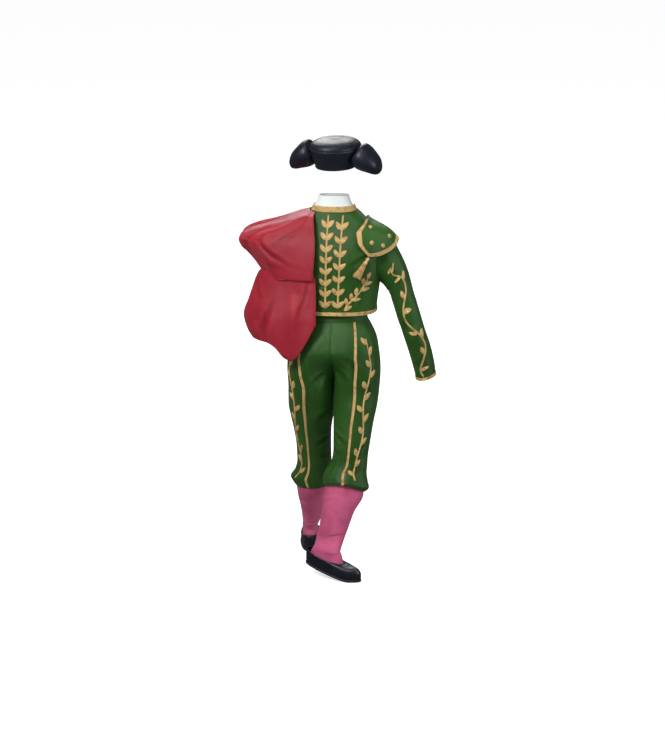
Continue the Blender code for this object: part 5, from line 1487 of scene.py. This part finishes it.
def make_sleeves():
    for side, sign in SIDES.items():
        place = sleeve_surface(side)
        grid = surface(place, circle(int(76 * FINE))[None, :], steps(0, 9, 150)[:, None], -sign)
        cloth(f"jacket_sleeve_{side}", "green", grid, CLOTH, "hung",
              ["jacket_back_satin", f"jacket_front_{side}_satin"], SLEEVE_CREASES[side], around=True)
        turn = np.linspace(0, 2 * np.pi, int(230 * FINE))
        points, normals = surface(place, turn[:, None], CUFF_RINGS[None, :], -sign)
        out = points - points.mean(axis=(0, 1))
        braid(f"cuff_braid_{side}", [(points, normals * np.sign((out * normals).sum()))], rise=0.0024)


def side_strip(place, sign, edge):
    """The strip along one side edge of an epaulette, as wide at the shoulder as at its lower end."""
    down = steps(0.02, 0.95, 110)[:, None]
    half = np.linalg.norm(place(edge * np.ones((1, 1)), down) - place(np.zeros((1, 1)), down), axis=-1)
    wide = np.clip(0.09 * half.max() / half, 0.0, 0.42)
    across = np.linspace(0.0, 1.0, 9)[None, :]
    share = edge * (0.99 - wide * (1 - across))
    return surface(place, share if edge > 0 else share[:, ::-1], down, sign)


def make_hombreras():
    """The padded epaulettes, with a braid round their free edges."""
    for side, sign in SIDES.items():
        across, down = steps(-1, 1, 90), steps(0, 1, 60)
        place = hombrera_surface(side)
        grid = surface(place, across[None, :], down[:, None], -sign)
        swell = 0.0016 * np.sin(np.pi * np.clip(down, 0, 1))[:, None] * (1 - across[None, :] ** 4)
        shape = Shape()
        shell(shape, grid, PADDED_CLOTH, swell, roll=0.3)
        shape.make(f"hombrera_{side}", "green")
        low = surface(place, steps(-0.995, 0.995, 190)[None, :], np.linspace(0.885, 0.995, 9)[:, None], -sign)
        strips = [side_strip(place, -sign, -1.0), side_strip(place, -sign, 1.0), turned(low)]
        braid(f"hombrera_braid_{side}", strips, rise=0.0036)


def make_studs():
    """Domed studs of coiled gold thread with a beaded foot."""
    for number, (u, v, pressed) in enumerate(STUDS):
        at, normal = surface(hombrera_surface("right"), np.array([u]), np.array([v]), 1.0)
        at, normal = at[0] - normal[0] * (pressed - 0.0004), normal[0]
        side = unit(np.cross(normal, [0.0, 0.0, 1.0]))
        turn = circle(36)
        level = np.linspace(0.0, 0.96, 15)
        coil = 1 + 0.05 * np.cos(level[:, None] * 2 * np.pi * 4 + turn[None, :])
        foot = 1 + 0.07 * np.exp(-((level[:, None] / 0.10) ** 2)) * np.cos(turn * 12)[None, :]
        radius = STUD_RADIUS * np.cos(level[:, None] * np.pi / 2) * coil * foot
        rise = STUD_RISE * np.sin(level * np.pi / 2)
        ring = spokes(turn, side, np.cross(side, normal))
        top = at + radius[..., None] * ring + rise[:, None, None] * normal
        under = at + (top - at) * 0.6 - normal * 0.0001
        shape = Shape()
        # Painted shade: the stud is darker towards its foot, where it meets the padding.
        tone = flat_tones(np.clip(0.6 - level, 0, 1)[:, None] + 0 * radius)
        poles = (at + normal * 0.0071, at + normal * 0.0030)
        shape.slab(top, under, turn * STUD_RADIUS, level * STUD_RADIUS, tone, True, poles)
        shape.make(f"hombrera_stud_{number + 1}", "gold")


TASSEL_PROFILE = [
    (0.0000, 0.0018), (0.0030, 0.0050), (0.0065, 0.0068), (0.0105, 0.0074), (0.0150, 0.0064),
    (0.0180, 0.0050), (0.0205, 0.0066), (0.0235, 0.0084), (0.0270, 0.0086), (0.0300, 0.0070),
]
TASSEL_THREADS = 150


def make_tassel():
    """A turned head wound with gold thread over a skirt of fine strands."""
    top, end = np.array(TASSEL_TOP), np.array(TASSEL_END)
    length = np.linalg.norm(end - top)
    down = (end - top) / length
    side = unit(np.cross(down, [0.0, 1.0, 0.0]))
    flatter = 0.85 * np.cross(side, down)
    profile = np.array(TASSEL_PROFILE)
    along = np.linspace(0, profile[-1, 0], 34)
    radius = np.interp(along, profile[:, 0], profile[:, 1])
    turn = circle(30)
    wound = 1 + 0.035 * np.cos(2 * np.pi * along[:, None] / 0.0022 + turn[None, :])
    out = (radius[:, None] * wound)[..., None] * spokes(turn, side, flatter)
    points = top + (along + 0.001)[:, None, None] * down + out
    shape = Shape()
    poles = (top + down * 0.031, top + down * 0.030)
    shape.slab(points, points - out * 0.45, turn * 0.008, along, [PLAIN], True, poles)
    rng = np.random.default_rng(11)
    for n in range(TASSEL_THREADS):
        spin = 2 * np.pi * n * 0.381966
        deep = 0.35 + 0.65 * ((n * 0.7548) % 1.0)
        spread = np.cos(spin) * side + np.sin(spin) * flatter
        reach = length * (0.93 + 0.07 * rng.random())
        wander = (rng.random(3) - 0.5) * 0.004
        t = np.linspace(0, 1, 7)[:, None]
        hang = top + down * (0.024 + (reach - 0.024) * t)
        path = hang + spread * deep * (0.0055 + 0.0110 * t**0.8) + wander * t**2
        shape.strand(path, np.linspace(0.00075, 0.00095, 7))
    shape.make("hombrera_tassel", "gold")


# The waistcoat's fronts meet below its opening, as if hooked together
HOOKED_EDGE = Table(
    "height degrees",
    [(1.030, 179.95), (1.235, 179.95), *map(tuple, WAISTCOAT_EDGE.rows[2:])],
)
WAISTCOAT_CREASES = [(0.30, 0.10, 0.42, 0.55, 0.006, 0.012, -0.0016)]
SHIRT_BACK_CREASES = [
    (0.30, 0.05, 0.36, 0.80, 0.008, 0.014, -0.0022),
    (0.70, 0.05, 0.62, 0.70, 0.006, 0.014, -0.0022),
]
SHIRT_FRONT_CREASES = [
    (0.50, 0.05, 0.50, 0.95, 0.000, 0.008, 0.0014),
    (0.30, 0.10, 0.36, 0.80, 0.008, 0.014, -0.0020),
]
SHIRT_BACK_TOP = 1.452
SHIRT_FRONT_TOP = 1.4475


def make_waistcoat_and_shirt():
    rows = torso_rows(1.050, SHIRT_BACK_TOP, 16, 14, 26)
    for side, sign in SIDES.items():
        grid = front_grid("waistcoat", rows, HOOKED_EDGE, steps(0, 1, 44), sign)
        cloth(f"waistcoat_front_{side}", "green", grid, WAISTCOAT_CLOTH, "hung",
              [f"jacket_front_{side}_satin"], WAISTCOAT_CREASES)
    waistcoats = ["waistcoat_front_left_satin", "waistcoat_front_right_satin"]
    rows = torso_rows(1.036, SHIRT_BACK_TOP, 14, 12, 22)
    grid = back_grid("shirt", rows, int(50 * FINE))
    angle = (np.pi / 2 - armhole_angle(rows))[:, None] * np.linspace(-1, 1, grid[0].shape[1])
    grid = up_to_collar(grid, angle, 1.438, SHIRT_BACK_TOP)
    cloth("shirt_back", "white", grid, SHIRT_CLOTH, "hung", waistcoats, SHIRT_BACK_CREASES)
    rows = torso_rows(1.036, SHIRT_FRONT_TOP, 14, 12, 22)
    start = np.pi / 2 + armhole_angle(rows)
    angle = start[:, None] + (2 * np.pi - 2 * start)[:, None] * steps(0, 1, 64)
    grid = surface(torso("shirt"), angle, rows[:, None], -1.0)
    grid = up_to_collar(grid, angle, 1.425, SHIRT_FRONT_TOP)
    cloth("shirt_front", "white", grid, SHIRT_CLOTH, "hung", ["shirt_back_cotton"], SHIRT_FRONT_CREASES)


INSIDE_COLLAR = 0.962


def up_to_collar(grid, angle, from_height, to_height):
    """The shirt's top rows drawn in to the foot of the collar."""
    points, normals = grid
    angle = np.broadcast_to(angle, points.shape[:2])
    x, y = oval_of(SHIRT_COLLAR, angle, 0.0)
    foot_height = SHIRT_COLLAR_FOOT - COLLAR_FRONT_DROP * (1 - np.cos(angle)) / 2 + 0.002
    share = eased(np.clip((points[..., 2] - from_height) / (to_height - from_height), 0, 1))[..., None]
    foot = np.stack([x * INSIDE_COLLAR, y * INSIDE_COLLAR, foot_height], -1)
    return points * (1 - share) + foot * share, normals


SHIRT_COLLAR_HEIGHT = 0.066
STITCHES_AT = 0.0595


def make_shirt_collar():
    """The standing collar, with a turned upper edge and a row of stitches."""

    def point(angle, rise):
        x, y = oval_of(SHIRT_COLLAR, angle, rise)
        drop = COLLAR_FRONT_DROP * (1 - np.cos(angle)) / 2
        return np.stack([x, y, SHIRT_COLLAR_FOOT + rise - drop], -1)

    angle = circle(int(150 * FINE))
    rise = steps(0.0, SHIRT_COLLAR_HEIGHT, 36)
    grid = surface(point, angle[None, :], rise[:, None], -1.0)
    row = np.exp(-(((rise - STITCHES_AT) / 0.0012) ** 2))[:, None]
    stitched = row * (0.6 + 0.4 * np.cos(angle * 75)[None, :])
    waved = 0.0010 * np.sin(angle * 5)[None, :] * np.sin(np.pi * rise / SHIRT_COLLAR_HEIGHT)[:, None]
    cloth("shirt_collar", "white", grid, CLOTH, "stretched", ["shirt_back_cotton"],
          height=waved - 0.0005 * stitched, around=True)


# Creases of the breeches, by leg and half
LEG_CREASES = {
    ("right", "back"): [
        (0.86, 0.80, 0.52, 0.66, 0.016, 0.012, -0.0042),
        (0.98, 0.72, 0.60, 0.60, 0.012, 0.012, -0.0044),
        (0.90, 0.34, 0.58, 0.24, 0.010, 0.012, -0.0048),
        (0.96, 0.25, 0.62, 0.20, -0.008, 0.010, -0.0040),
        (0.60, 0.30, 0.86, 0.36, 0.010, 0.012, 0.0030),
        (0.20, 0.28, 0.42, 0.18, 0.006, 0.010, -0.0028),
        (0.74, 0.06, 0.78, 0.16, 0.003, 0.009, -0.0030),
    ],
    ("left", "back"): [
        (0.92, 0.72, 0.56, 0.62, 0.014, 0.012, -0.0044),
        (0.90, 0.50, 0.60, 0.40, 0.012, 0.014, -0.0036),
        (0.94, 0.32, 0.56, 0.26, 0.010, 0.012, -0.0046),
        (0.88, 0.22, 0.60, 0.20, -0.008, 0.010, -0.0034),
        (0.16, 0.30, 0.40, 0.22, 0.006, 0.010, -0.0026),
    ],
    ("right", "front"): [
        (0.96, 0.66, 0.50, 0.74, 0.012, 0.012, -0.0042),
        (0.90, 0.58, 0.56, 0.64, 0.010, 0.012, -0.0034),
        (0.50, 0.26, 0.90, 0.22, 0.008, 0.012, -0.0030),
    ],
    ("left", "front"): [
        (0.96, 0.68, 0.52, 0.76, 0.012, 0.012, -0.0042),
        (0.92, 0.60, 0.58, 0.66, 0.010, 0.012, -0.0034),
        (0.50, 0.30, 0.88, 0.26, 0.008, 0.012, -0.0030),
    ],
}
BRAID_FROM = 0.955
BRAID_TO = 0.045


def leg_height(side, share):
    leg = LEGS[side].rows[0, 0]
    return leg + (1.030 - leg) * share


def middle_seam(grid, side):
    """Above the crotch the two legs are sewn together, so their walls end flat on the middle plane."""
    points, normals = grid
    above = points[:, -1, 2] >= CROTCH - 1e-6
    flat = normals[above, -1] * np.array([0.0, 1.0, 1.0])
    normals[above, -1] = flat / np.maximum(np.linalg.norm(flat, axis=-1, keepdims=True), 1e-9)
    points[above, -1, 0] = -0.0002 * SIDES[side]
    return points, normals


def make_breeches():
    for side, sign in SIDES.items():
        for half in ("back", "front"):
            heights = leg_height(side, steps(0, 1, 160))
            turn = sign * (1.0 if half == "back" else -1.0)
            walk = leg_surface(side, half)
            grid = surface(walk, steps(0, 1, 56)[None, :], heights[:, None], turn)
            points, normals = middle_seam(grid, side)
            gathers = 0.0012 * np.sin(np.linspace(0, 2 * np.pi * 9, points.shape[1]))[None, :]
            hem = np.clip(1 - (heights - heights[0]) / 0.045, 0, 1)[:, None] ** 1.5
            grid = (points + normals * (gathers * hem)[..., None], normals)
            cloth(f"breeches_{half}_{side}", "green", grid, CLOTH, "hung", ["breeches_waistband_satin"],
                  LEG_CREASES[side, half])
            heights = leg_height(side, steps(0.004, 1, 420))
            line = BRAID_LINES.at(f"{half}_{side}", heights)[:, None]
            across = np.linspace(0, 1, 7)[None, :]
            share = line * BRAID_FROM + (line * (1 - BRAID_FROM) + BRAID_TO * (1 - line)) * across
            strip = surface(walk, share, heights[:, None], turn)
            braid(f"breeches_braid_{half}_{side}", [strip], rise=0.0026)


def make_waistband():
    grid = surface(body(HIPS), circle(int(150 * FINE))[None, :], steps(1.0303, WAIST_TOP, 26)[:, None], -1.0)
    cloth("breeches_waistband", "green", grid, CLOTH, "stretched",
          ["shirt_back_cotton", "shirt_front_cotton"], around=True)


# Small creases of the cape, over its large folds
CAPE_UPPER_CREASES = [
    (0.10, 0.96, 0.20, 0.30, 0.020, 0.016, -0.0050),
    (0.24, 0.90, 0.40, 0.40, 0.020, 0.014, 0.0050),
    (0.36, 0.70, 0.46, 0.10, 0.012, 0.016, -0.0060),
    (0.30, 0.52, 0.14, 0.12, -0.016, 0.014, -0.0050),
    (0.56, 0.90, 0.60, 0.20, 0.014, 0.016, -0.0050),
    (0.72, 0.92, 0.78, 0.20, 0.014, 0.014, 0.0045),
    (0.88, 0.94, 0.90, 0.16, 0.010, 0.012, -0.0040),
]
CAPE_LOWER_CREASES = [
    (0.06, 0.86, 0.14, 0.30, 0.012, 0.012, -0.0035),
    (0.20, 0.70, 0.16, 0.26, 0.018, 0.016, 0.0030),
    (0.28, 0.56, 0.38, 0.04, 0.014, 0.015, -0.0050),
    (0.44, 0.74, 0.36, 0.44, -0.016, 0.014, -0.0034),
    (0.56, 0.50, 0.50, 0.08, 0.016, 0.015, 0.0036),
    (0.62, 0.72, 0.70, 0.34, 0.014, 0.016, -0.0038),
    (0.84, 0.60, 0.76, 0.06, 0.012, 0.013, 0.0036),
    (0.92, 0.70, 0.93, 0.20, 0.006, 0.012, -0.0034),
]


CAPE_EDGE_REACH = 0.012
LOWER_CAPE_TOP = 1.300


def make_cape():
    """The cape's upper flap over its lower part, both hemmed."""
    around = steps(0, 1, 136)
    table = CAPE_UPPER.rows
    heights = steps(table[0, 0], table[-2, 0], 100)
    grid = surface(cape_surface(CAPE_UPPER, UPPER_FOLDS), around[None, :], heights[:, None], -1.0)
    cloth("cape_upper", "red", grid, CAPE_CLOTH, "draped", ["jacket_back_satin"], CAPE_UPPER_CREASES,
          edge_reach=CAPE_EDGE_REACH)
    hem = CAPE_HEM.at("height", around)[None, :]
    heights = hem + (LOWER_CAPE_TOP - hem) * steps(0, 1, 114)[:, None]
    grid = surface(cape_lower_surface(), around[None, :] + 0 * heights, heights, -1.0)
    cloth("cape_lower", "red", grid, CAPE_CLOTH, "draped", ["cape_upper_silk"], CAPE_LOWER_CREASES,
          edge_reach=CAPE_EDGE_REACH)


def smooth_rings(rings, count):
    """More rings between the given ones, on a smooth curve through them."""
    at = np.linspace(0, len(rings) - 1, count)
    low = np.clip(at.astype(int), 0, len(rings) - 2)
    return curve(rings, np.gradient(rings, axis=0), low, (at - low)[:, None, None])


def stocking_rings(side, sides):
    """Rings from the knee down to the ankle, and then along the foot to the toe."""
    angle = circle(sides)
    rings = []
    base = math.radians(180.0 if side == "right" else -90.0)
    for height, x, y, half_length, half_width, turn in CALVES[side].rows[::-1]:
        toe = base + SIDES[side] * math.radians(turn)
        forward = np.array([math.cos(toe), math.sin(toe), 0.0])
        across = np.array([math.sin(toe), -math.cos(toe), 0.0])
        rings.append(np.array([x, y, height]) + spokes(angle, half_length * forward, half_width * across))
    for _, front_f, front_z, back_f, back_z, half_width in FOOTS[side].rows:
        ahead = (1 + np.cos(angle)) / 2
        height = back_z + (front_z - back_z) * ahead
        rings.append(on_foot(side, back_f + (front_f - back_f) * ahead, half_width * np.sin(angle), height))
    return np.array(rings)


STOCKING_CREASES = {
    "right": [
        (0.05, 0.50, 0.30, 0.54, 0.006, 0.006, -0.0022),
        (0.60, 0.52, 0.95, 0.50, 0.006, 0.006, -0.0022),
        (0.40, 0.46, 0.66, 0.44, 0.006, 0.007, -0.0018),
        (0.30, 0.20, 0.50, 0.30, 0.010, 0.010, -0.0014),
    ],
    "left": [
        (0.30, 0.50, 0.62, 0.53, 0.006, 0.006, -0.0022),
        (0.05, 0.48, 0.28, 0.50, 0.006, 0.006, -0.0020),
        (0.55, 0.22, 0.75, 0.32, 0.010, 0.010, -0.0014),
    ],
}


def make_stockings():
    for side in SIDES:
        rings = smooth_rings(stocking_rings(side, int(64 * FINE)), int(124 * FINE))
        forward = foot_frame(side)[1]
        poles = (rings[-1].mean(axis=0) + forward * 0.004, forward)
        cloth(f"stocking_{side}", "pink", (rings, ring_normals(rings)), STOCKING_CLOTH, "stretched",
              [f"slipper_sole_{side}_leather"], STOCKING_CREASES[side], around=True, poles=poles)


BINDING_RADIUS = 0.0019


def make_slippers():
    """Low slippers: an upper with a bound opening and a heel seam, and a stitched sole."""
    sides = int(96 * FINE)
    share = np.arange(sides) / sides
    for side in SIDES:
        f, a = shoe_outline(share)
        of, oa, oz = shoe_opening(share)
        rings = []
        for moved, risen in SHOE_RINGS:
            height = SOLE_TOP + SEAM + (oz - SOLE_TOP - SEAM) * risen
            rings.append(on_foot(side, f + (of - f) * moved, a + (oa - a) * moved, height))
        rings = smooth_rings(np.array(rings), int(40 * FINE))
        toe = np.exp(-(((share + 0.5) % 1 - 0.5) / 0.10) ** 2)[None, :]
        level = np.linspace(0, 1, len(rings))[:, None]
        crease = -0.0007 * toe * np.cos(level * 30) * np.sin(np.pi * level)
        heel_seam = -0.0006 * np.exp(-(((share - 0.5) / 0.006) ** 2))[None, :]
        shape = Shape()
        grid = (rings, ring_normals(rings))
        shell(shape, grid, SHOE_LEATHER, crease + heel_seam, around=True, roll=0.5, edge_reach=0.004)
        top = on_foot(side, of, oa, oz)
        closed = np.vstack([top, top[:2]])
        turn = circle(10)
        up = np.array([0.0, 0.0, 1.0])
        out = np.cross(unit(np.gradient(closed, axis=0)), up)
        round_edge = BINDING_RADIUS * spokes(turn, out[:, None], up)
        tube, core = closed[:, None] + round_edge, closed[:, None] + 0.2 * round_edge
        shape.slab(tube, core, turn * 0.002, arc(tube, 0), [[0.8, 0.5]], around=True)
        shape.make(f"slipper_upper_{side}", "leather")
        make_sole(side, f, a)


# Rounds of a sole from the ground up: how far each is inside the outline, its height and its wear
SOLE_ROUNDS = [
    (0.0040, 0.0000, 0.6),
    (0.0012, 0.0004, 0.8),
    (0.0000, 0.0016, 0.9),
    (-0.0006, 0.0034, 0.4),
    (-0.0006, 0.0056, 0.2),
    (0.0000, 0.0070, 0.3),
    (-0.0008, 0.0080, 0.9),
    (0.0004, SOLE_TOP, 0.5),
]
STITCHED_ROUND = 6
SOLE_MIDDLE = 0.07
SOLE_SPREAD = 0.002


def make_sole(side, forward, across):
    """A leather sole with rounded edges, a welt groove and stitches along it."""

    def placed(grow, height):
        middle = SOLE_MIDDLE + (forward - SOLE_MIDDLE) * grow
        return on_foot(side, middle, across * grow, height + 0 * forward)

    radius = np.maximum(np.hypot(forward - SOLE_MIDDLE, across), 0.02)
    rings = np.array([placed(1 + (SOLE_SPREAD - inset) / radius, height) for inset, height, _ in SOLE_ROUNDS])
    stitched = np.zeros(rings.shape[:2])
    stitched[STITCHED_ROUND] = 0.0003 * np.cos(np.arange(len(forward)) * np.pi)
    rings = rings + ring_normals(rings) * stitched[..., None]
    # The under side is hollow: its inner rings lie level with the top's
    inner = [placed(1 - k / 9, SOLE_TOP) for k in range(1, 9)]
    whole = np.array([*inner[::-1], *rings, *inner])
    worn = np.full(len(whole), WORN[0])
    worn[len(inner) + 1 : -len(inner) - 1] = [wear for *_, wear in SOLE_ROUNDS[1:-1]]
    shape = Shape()
    shape.closed(whole, flat_tones(worn[:, None] + 0 * whole[..., 0]))
    shape.make(f"slipper_sole_{side}", "sole")


def hat_ring(table, level, angle):
    x = table.at("half_width", level) * np.sin(angle)
    y = table.at("half_depth", level) * np.cos(angle)
    return np.stack([x, y, level + 0 * x], -1)


HAT_FOOT = 1.628
HAT_BAND_HEIGHT = 0.0765


def hat_shell(node, rings, height, **more):
    shape = Shape()
    grid = (hat_turned(rings), hat_turned_way(ring_normals(rings)))
    shell(shape, grid, HAT_FELT, height, around=True, roll=0.4, **more)
    shape.make(node, "plush")


def make_hat():
    """The hat's band and domed top, with a raised seam between them, and its pads."""
    angle = circle(int(140 * FINE))
    heights = steps(HAT_FOOT, 1.7045, 44)
    level = ((heights - HAT_FOOT) / HAT_BAND_HEIGHT)[:, None]
    waves = 0.6 + 0.4 * np.cos(angle * 3 + 0.8)[None, :]
    dent = -0.0020 * np.exp(-(((level - 0.45) / 0.20) ** 2)) * waves
    cord = 0.0016 * np.exp(-(((level - 0.05) / 0.05) ** 2)) + 0.0012 * np.exp(-(((level - 0.97) / 0.04) ** 2))
    hat_shell("montera_band", np.array([hat_ring(HAT_BAND, h, angle) for h in heights]), dent + cord)
    at = steps(0, 1, 40)
    keys = HAT_CROWN.rows
    rise = keys[0, 0] + (keys[-1, 0] - keys[0, 0]) * np.sin(at * np.pi / 2) ** 1.1
    crown = np.array([hat_ring(HAT_CROWN, h, angle) for h in rise])
    waves = 0.7 + 0.3 * np.cos(angle * 2)[None, :]
    top_dent = -0.0024 * np.exp(-(((at - 0.8) / 0.25) ** 2))[:, None] * waves
    pole = hat_turned([0.0, 0.0, HAT_CROWN_TOP - 0.0016])
    hat_shell("montera_crown", crown, top_dent * 0.6, poles=(pole, np.array([0.0, 0.0, 1.0])))
    for side in SIDES:
        make_hat_pad(side)


def make_hat_pad(side):
    """A stuffed side pad: a crowned form that pulls in to a seam at the band, and droops outwards."""
    turn = circle(int(80 * FINE))
    widest = float(HAT_BAND.at("half_width", HAT_PAD_HEIGHT))

    def on_band(up, along):
        height = HAT_PAD_HEIGHT + up
        half_depth = HAT_BAND.at("half_depth", height)
        x = HAT_BAND.at("half_width", height) * np.sqrt(np.clip(1 - (along / half_depth) ** 2, 0, 1))
        return x, height

    root = HAT_PAD.rows[0]
    along = root[3] * np.sin(turn)
    x, z = on_band(root[2] * np.cos(turn), along)
    rings = [np.stack([x + 0.0006, along, z], -1)]
    for out, drop, half_height, half_depth in HAT_PAD.rows[1:]:
        up, along = half_height * np.cos(turn), half_depth * np.sin(turn)
        x = on_band(np.clip(up, -0.044, 0.029), along)[0]
        follow = max(0.0, 1 - out / 0.05)
        x = (x + 0.0050) * follow + (widest + out) * (1 - follow) + out * follow
        rings.append(np.stack([x, along, HAT_PAD_HEIGHT + up - drop], -1))
    rings = smooth_rings(np.array(rings), int(54 * FINE))
    level = np.linspace(0, 1, len(rings))[:, None]
    pucker = -0.0010 * np.exp(-((level / 0.12) ** 2)) * (1 + np.cos(turn * 14)[None, :])
    line = np.exp(-(((turn[None, :] - 1.5 * np.pi + 0.5) / 0.10) ** 2))
    seam = -0.0016 * line * np.sin(np.pi * level) ** 0.5
    rings = hat_turned(on_side(rings + ring_normals(rings) * (pucker + seam)[..., None], side))
    shape = Shape()
    shape.closed(rings, [PLAIN])
    shape.make(f"montera_pad_{side}", "plush")


# Upright sprigs of the back: where each stands at its foot and head, and its pairs of leaves
BACK_SPRIGS = [("left", 0.023, 0.014, 8), ("right", -0.026, -0.043, 7)]
# Slanting sprig: points of its stem across and up, and its leaves by step, side, lean and size
SLANTING_STEM = [
    (-0.053, 1.082),
    (-0.062, 1.103),
    (-0.080, 1.122),
    (-0.098, 1.140),
    (-0.114, 1.160),
    (-0.128, 1.182),
    (-0.141, 1.206),
]
SLANTING_LEAVES = [
    (0, -1, 34, 0.95), (1, 1, 40, 0.9), (2, -1, 36, 1.0), (2, 1, 44, 0.9), (3, 1, 36, 1.0),
    (4, -1, 38, 1.0), (5, 1, 36, 0.9), (5, -1, 40, 0.9), (6, 1, 8, 0.85),
]


def make_back_sprigs():
    for name, foot, head, pairs in BACK_SPRIGS:
        heights = np.linspace(1.092, 1.452, 2 * pairs + 1)
        xs = foot + (head - foot) * (heights - heights[0]) / (heights[-1] - heights[0])
        leaves = [(2 * k, side, 40, 1.06) for k in range(pairs) for side in (-1, 1)]
        sprig(f"vine_back_{name}", on_back, list(zip(xs, heights)), leaves, -1.0)
    sprig("vine_back_sprig", on_back, SLANTING_STEM, SLANTING_LEAVES, -1.0)


def make_sleeve_sprig():
    """The winding sprig down the back of the right sleeve."""

    def place(across, down):
        return on_right_sleeve(across, np.clip(-down / RING_LENGTH, 0.3, 8.9))

    stem = [(sleeve_stem(r), -r * RING_LENGTH) for r in np.linspace(8.60, 1.60, 47)]
    leaves = [(2 * k + 1, side, lean, 1.08) for k, side, lean in SLEEVE_LEAVES]
    sprig("vine_sleeve", place, stem, leaves, -1.0)


def make_leg_sprigs():
    """The winding sprig up the outer side panel of each leg."""
    for side, sign in SIDES.items():
        walk = leg_surface(side, "back")

        def place(across, height, walk=walk, side=side):
            middle = BRAID_LINES.at(f"back_{side}", height) * VINE_SHARE[side]
            return walk(np.clip(middle + across / LEG_REACH, 0.005, 0.995), height)

        low = LEGS[side].rows[0, 0] + 0.042
        stem = [(0.010 * math.sin(24 * (h - low)), h) for h in np.linspace(low, 0.965, 27)]
        leaves = [(k, 1 if k % 4 == 1 else -1, 36, 1.12) for k in range(1, 26, 2)]
        sprig(f"vine_leg_{side}", place, stem, leaves, sign)


# The camera stands behind the costume, a little above it
CAMERA_AZIMUTH = math.radians(186.0)
CAMERA_RISE = math.radians(15.5)
CAMERA_DISTANCE = 12.0
CAMERA_TARGET = Vector((0.006, 0.0, 0.79 - HOLD_HEIGHT))
PHOTO_LONG_SIDE = 750
FOCAL_PIXELS = 3036
SENSOR = 36.0


def aimed(name, data, azimuth, rise, distance):
    """A camera or light at that distance from the camera's target, looking at it. Its angles are radians."""
    away = Vector((math.sin(azimuth) * math.cos(rise), -math.cos(azimuth) * math.cos(rise), math.sin(rise)))
    thing = bpy.data.objects.new(name, data)
    thing.location = CAMERA_TARGET + away * distance
    thing.rotation_euler = (CAMERA_TARGET - thing.location).to_track_quat("-Z", "Y").to_euler()
    bpy.context.scene.collection.objects.link(thing)
    return thing


def make_camera():
    data = bpy.data.cameras.new("camera")
    data.sensor_width = SENSOR
    data.lens = FOCAL_PIXELS / PHOTO_LONG_SIDE * SENSOR
    data.clip_end = 500.0
    bpy.context.scene.camera = aimed("camera", data, CAMERA_AZIMUTH, CAMERA_RISE, CAMERA_DISTANCE)


# Lights: azimuth and rise in degrees, distance, width, power and colour
LIGHTS = [
    ("key", 145.0, 46.0, 5.0, 1.4, 190.0, (1.0, 0.98, 0.95)),
    ("side", 252.0, 20.0, 5.0, 1.1, 70.0, (0.94, 0.97, 1.0)),
    ("top", 200.0, 76.0, 4.5, 1.8, 30.0, (0.96, 0.98, 1.0)),
    ("front", 10.0, 35.0, 6.0, 3.0, 150.0, (1.0, 1.0, 1.0)),
]


def make_lights():
    for name, azimuth, rise, distance, width, power, colour in LIGHTS:
        data = bpy.data.lights.new(name, "AREA")
        data.shape = "DISK"
        data.size = width
        data.energy = power
        data.color = colour
        aimed(name, data, math.radians(azimuth), math.radians(rise), distance)


WORLD_SEEN = 1.0
WORLD_LIGHT = 0.46
WORLD_GLOSS = 0.10


def make_world():
    """Soft even light, dimmer where a glossy surface mirrors it."""
    world = bpy.data.worlds.new("studio")
    bpy.context.scene.world = world
    world.use_nodes = True
    tree = world.node_tree
    path = tree.nodes.new("ShaderNodeLightPath")
    dimmed = tree.nodes.new("ShaderNodeMapRange")
    dimmed.inputs["To Min"].default_value = WORLD_LIGHT
    dimmed.inputs["To Max"].default_value = WORLD_GLOSS
    tree.links.new(path.outputs["Is Glossy Ray"], dimmed.inputs["Value"])
    strength = tree.nodes.new("ShaderNodeMapRange")
    strength.inputs["To Max"].default_value = WORLD_SEEN
    tree.links.new(path.outputs["Is Camera Ray"], strength.inputs["Value"])
    tree.links.new(dimmed.outputs["Result"], strength.inputs["To Min"])
    background = tree.nodes["Background"]
    background.inputs["Color"].default_value = (1.0, 1.0, 1.0, 1.0)
    tree.links.new(strength.outputs["Result"], background.inputs["Strength"])
    bpy.context.scene.view_settings.view_transform = "Standard"


FLOOR_HALF = 150.0
FLOOR_GLOW = 0.59


def make_floor():
    mesh = bpy.data.meshes.new("floor")
    corners = [(-1, -1), (1, -1), (1, 1), (-1, 1)]
    mesh.from_pydata([(x * FLOOR_HALF, y * FLOOR_HALF, -HOLD_HEIGHT) for x, y in corners], [], [(0, 1, 2, 3)])
    material = bpy.data.materials.new("floor")
    material.use_nodes = True
    shader = material.node_tree.nodes["Principled BSDF"]
    shader.inputs["Base Color"].default_value = (0.85, 0.85, 0.85, 1.0)
    shader.inputs["Emission Color"].default_value = (1.0, 1.0, 1.0, 1.0)
    shader.inputs["Emission Strength"].default_value = FLOOR_GLOW
    shader.inputs["Roughness"].default_value = 0.85
    shader.inputs["Specular IOR Level"].default_value = 0.1
    mesh.materials.append(material)
    floor = bpy.data.objects.new("floor", mesh)
    bpy.context.scene.collection.objects.link(floor)
    floor.visible_glossy = False
    floor.visible_diffuse = False


def main():
    make_camera()
    make_world()
    make_lights()
    make_floor()
    make_jacket()
    make_hem_braid()
    make_jacket_collar()
    make_sleeves()
    make_hombreras()
    make_studs()
    make_tassel()
    make_waistcoat_and_shirt()
    make_shirt_collar()
    make_breeches()
    make_waistband()
    make_cape()
    make_stockings()
    make_slippers()
    make_hat()
    make_back_sprigs()
    make_sleeve_sprig()
    make_leg_sprigs()


main()
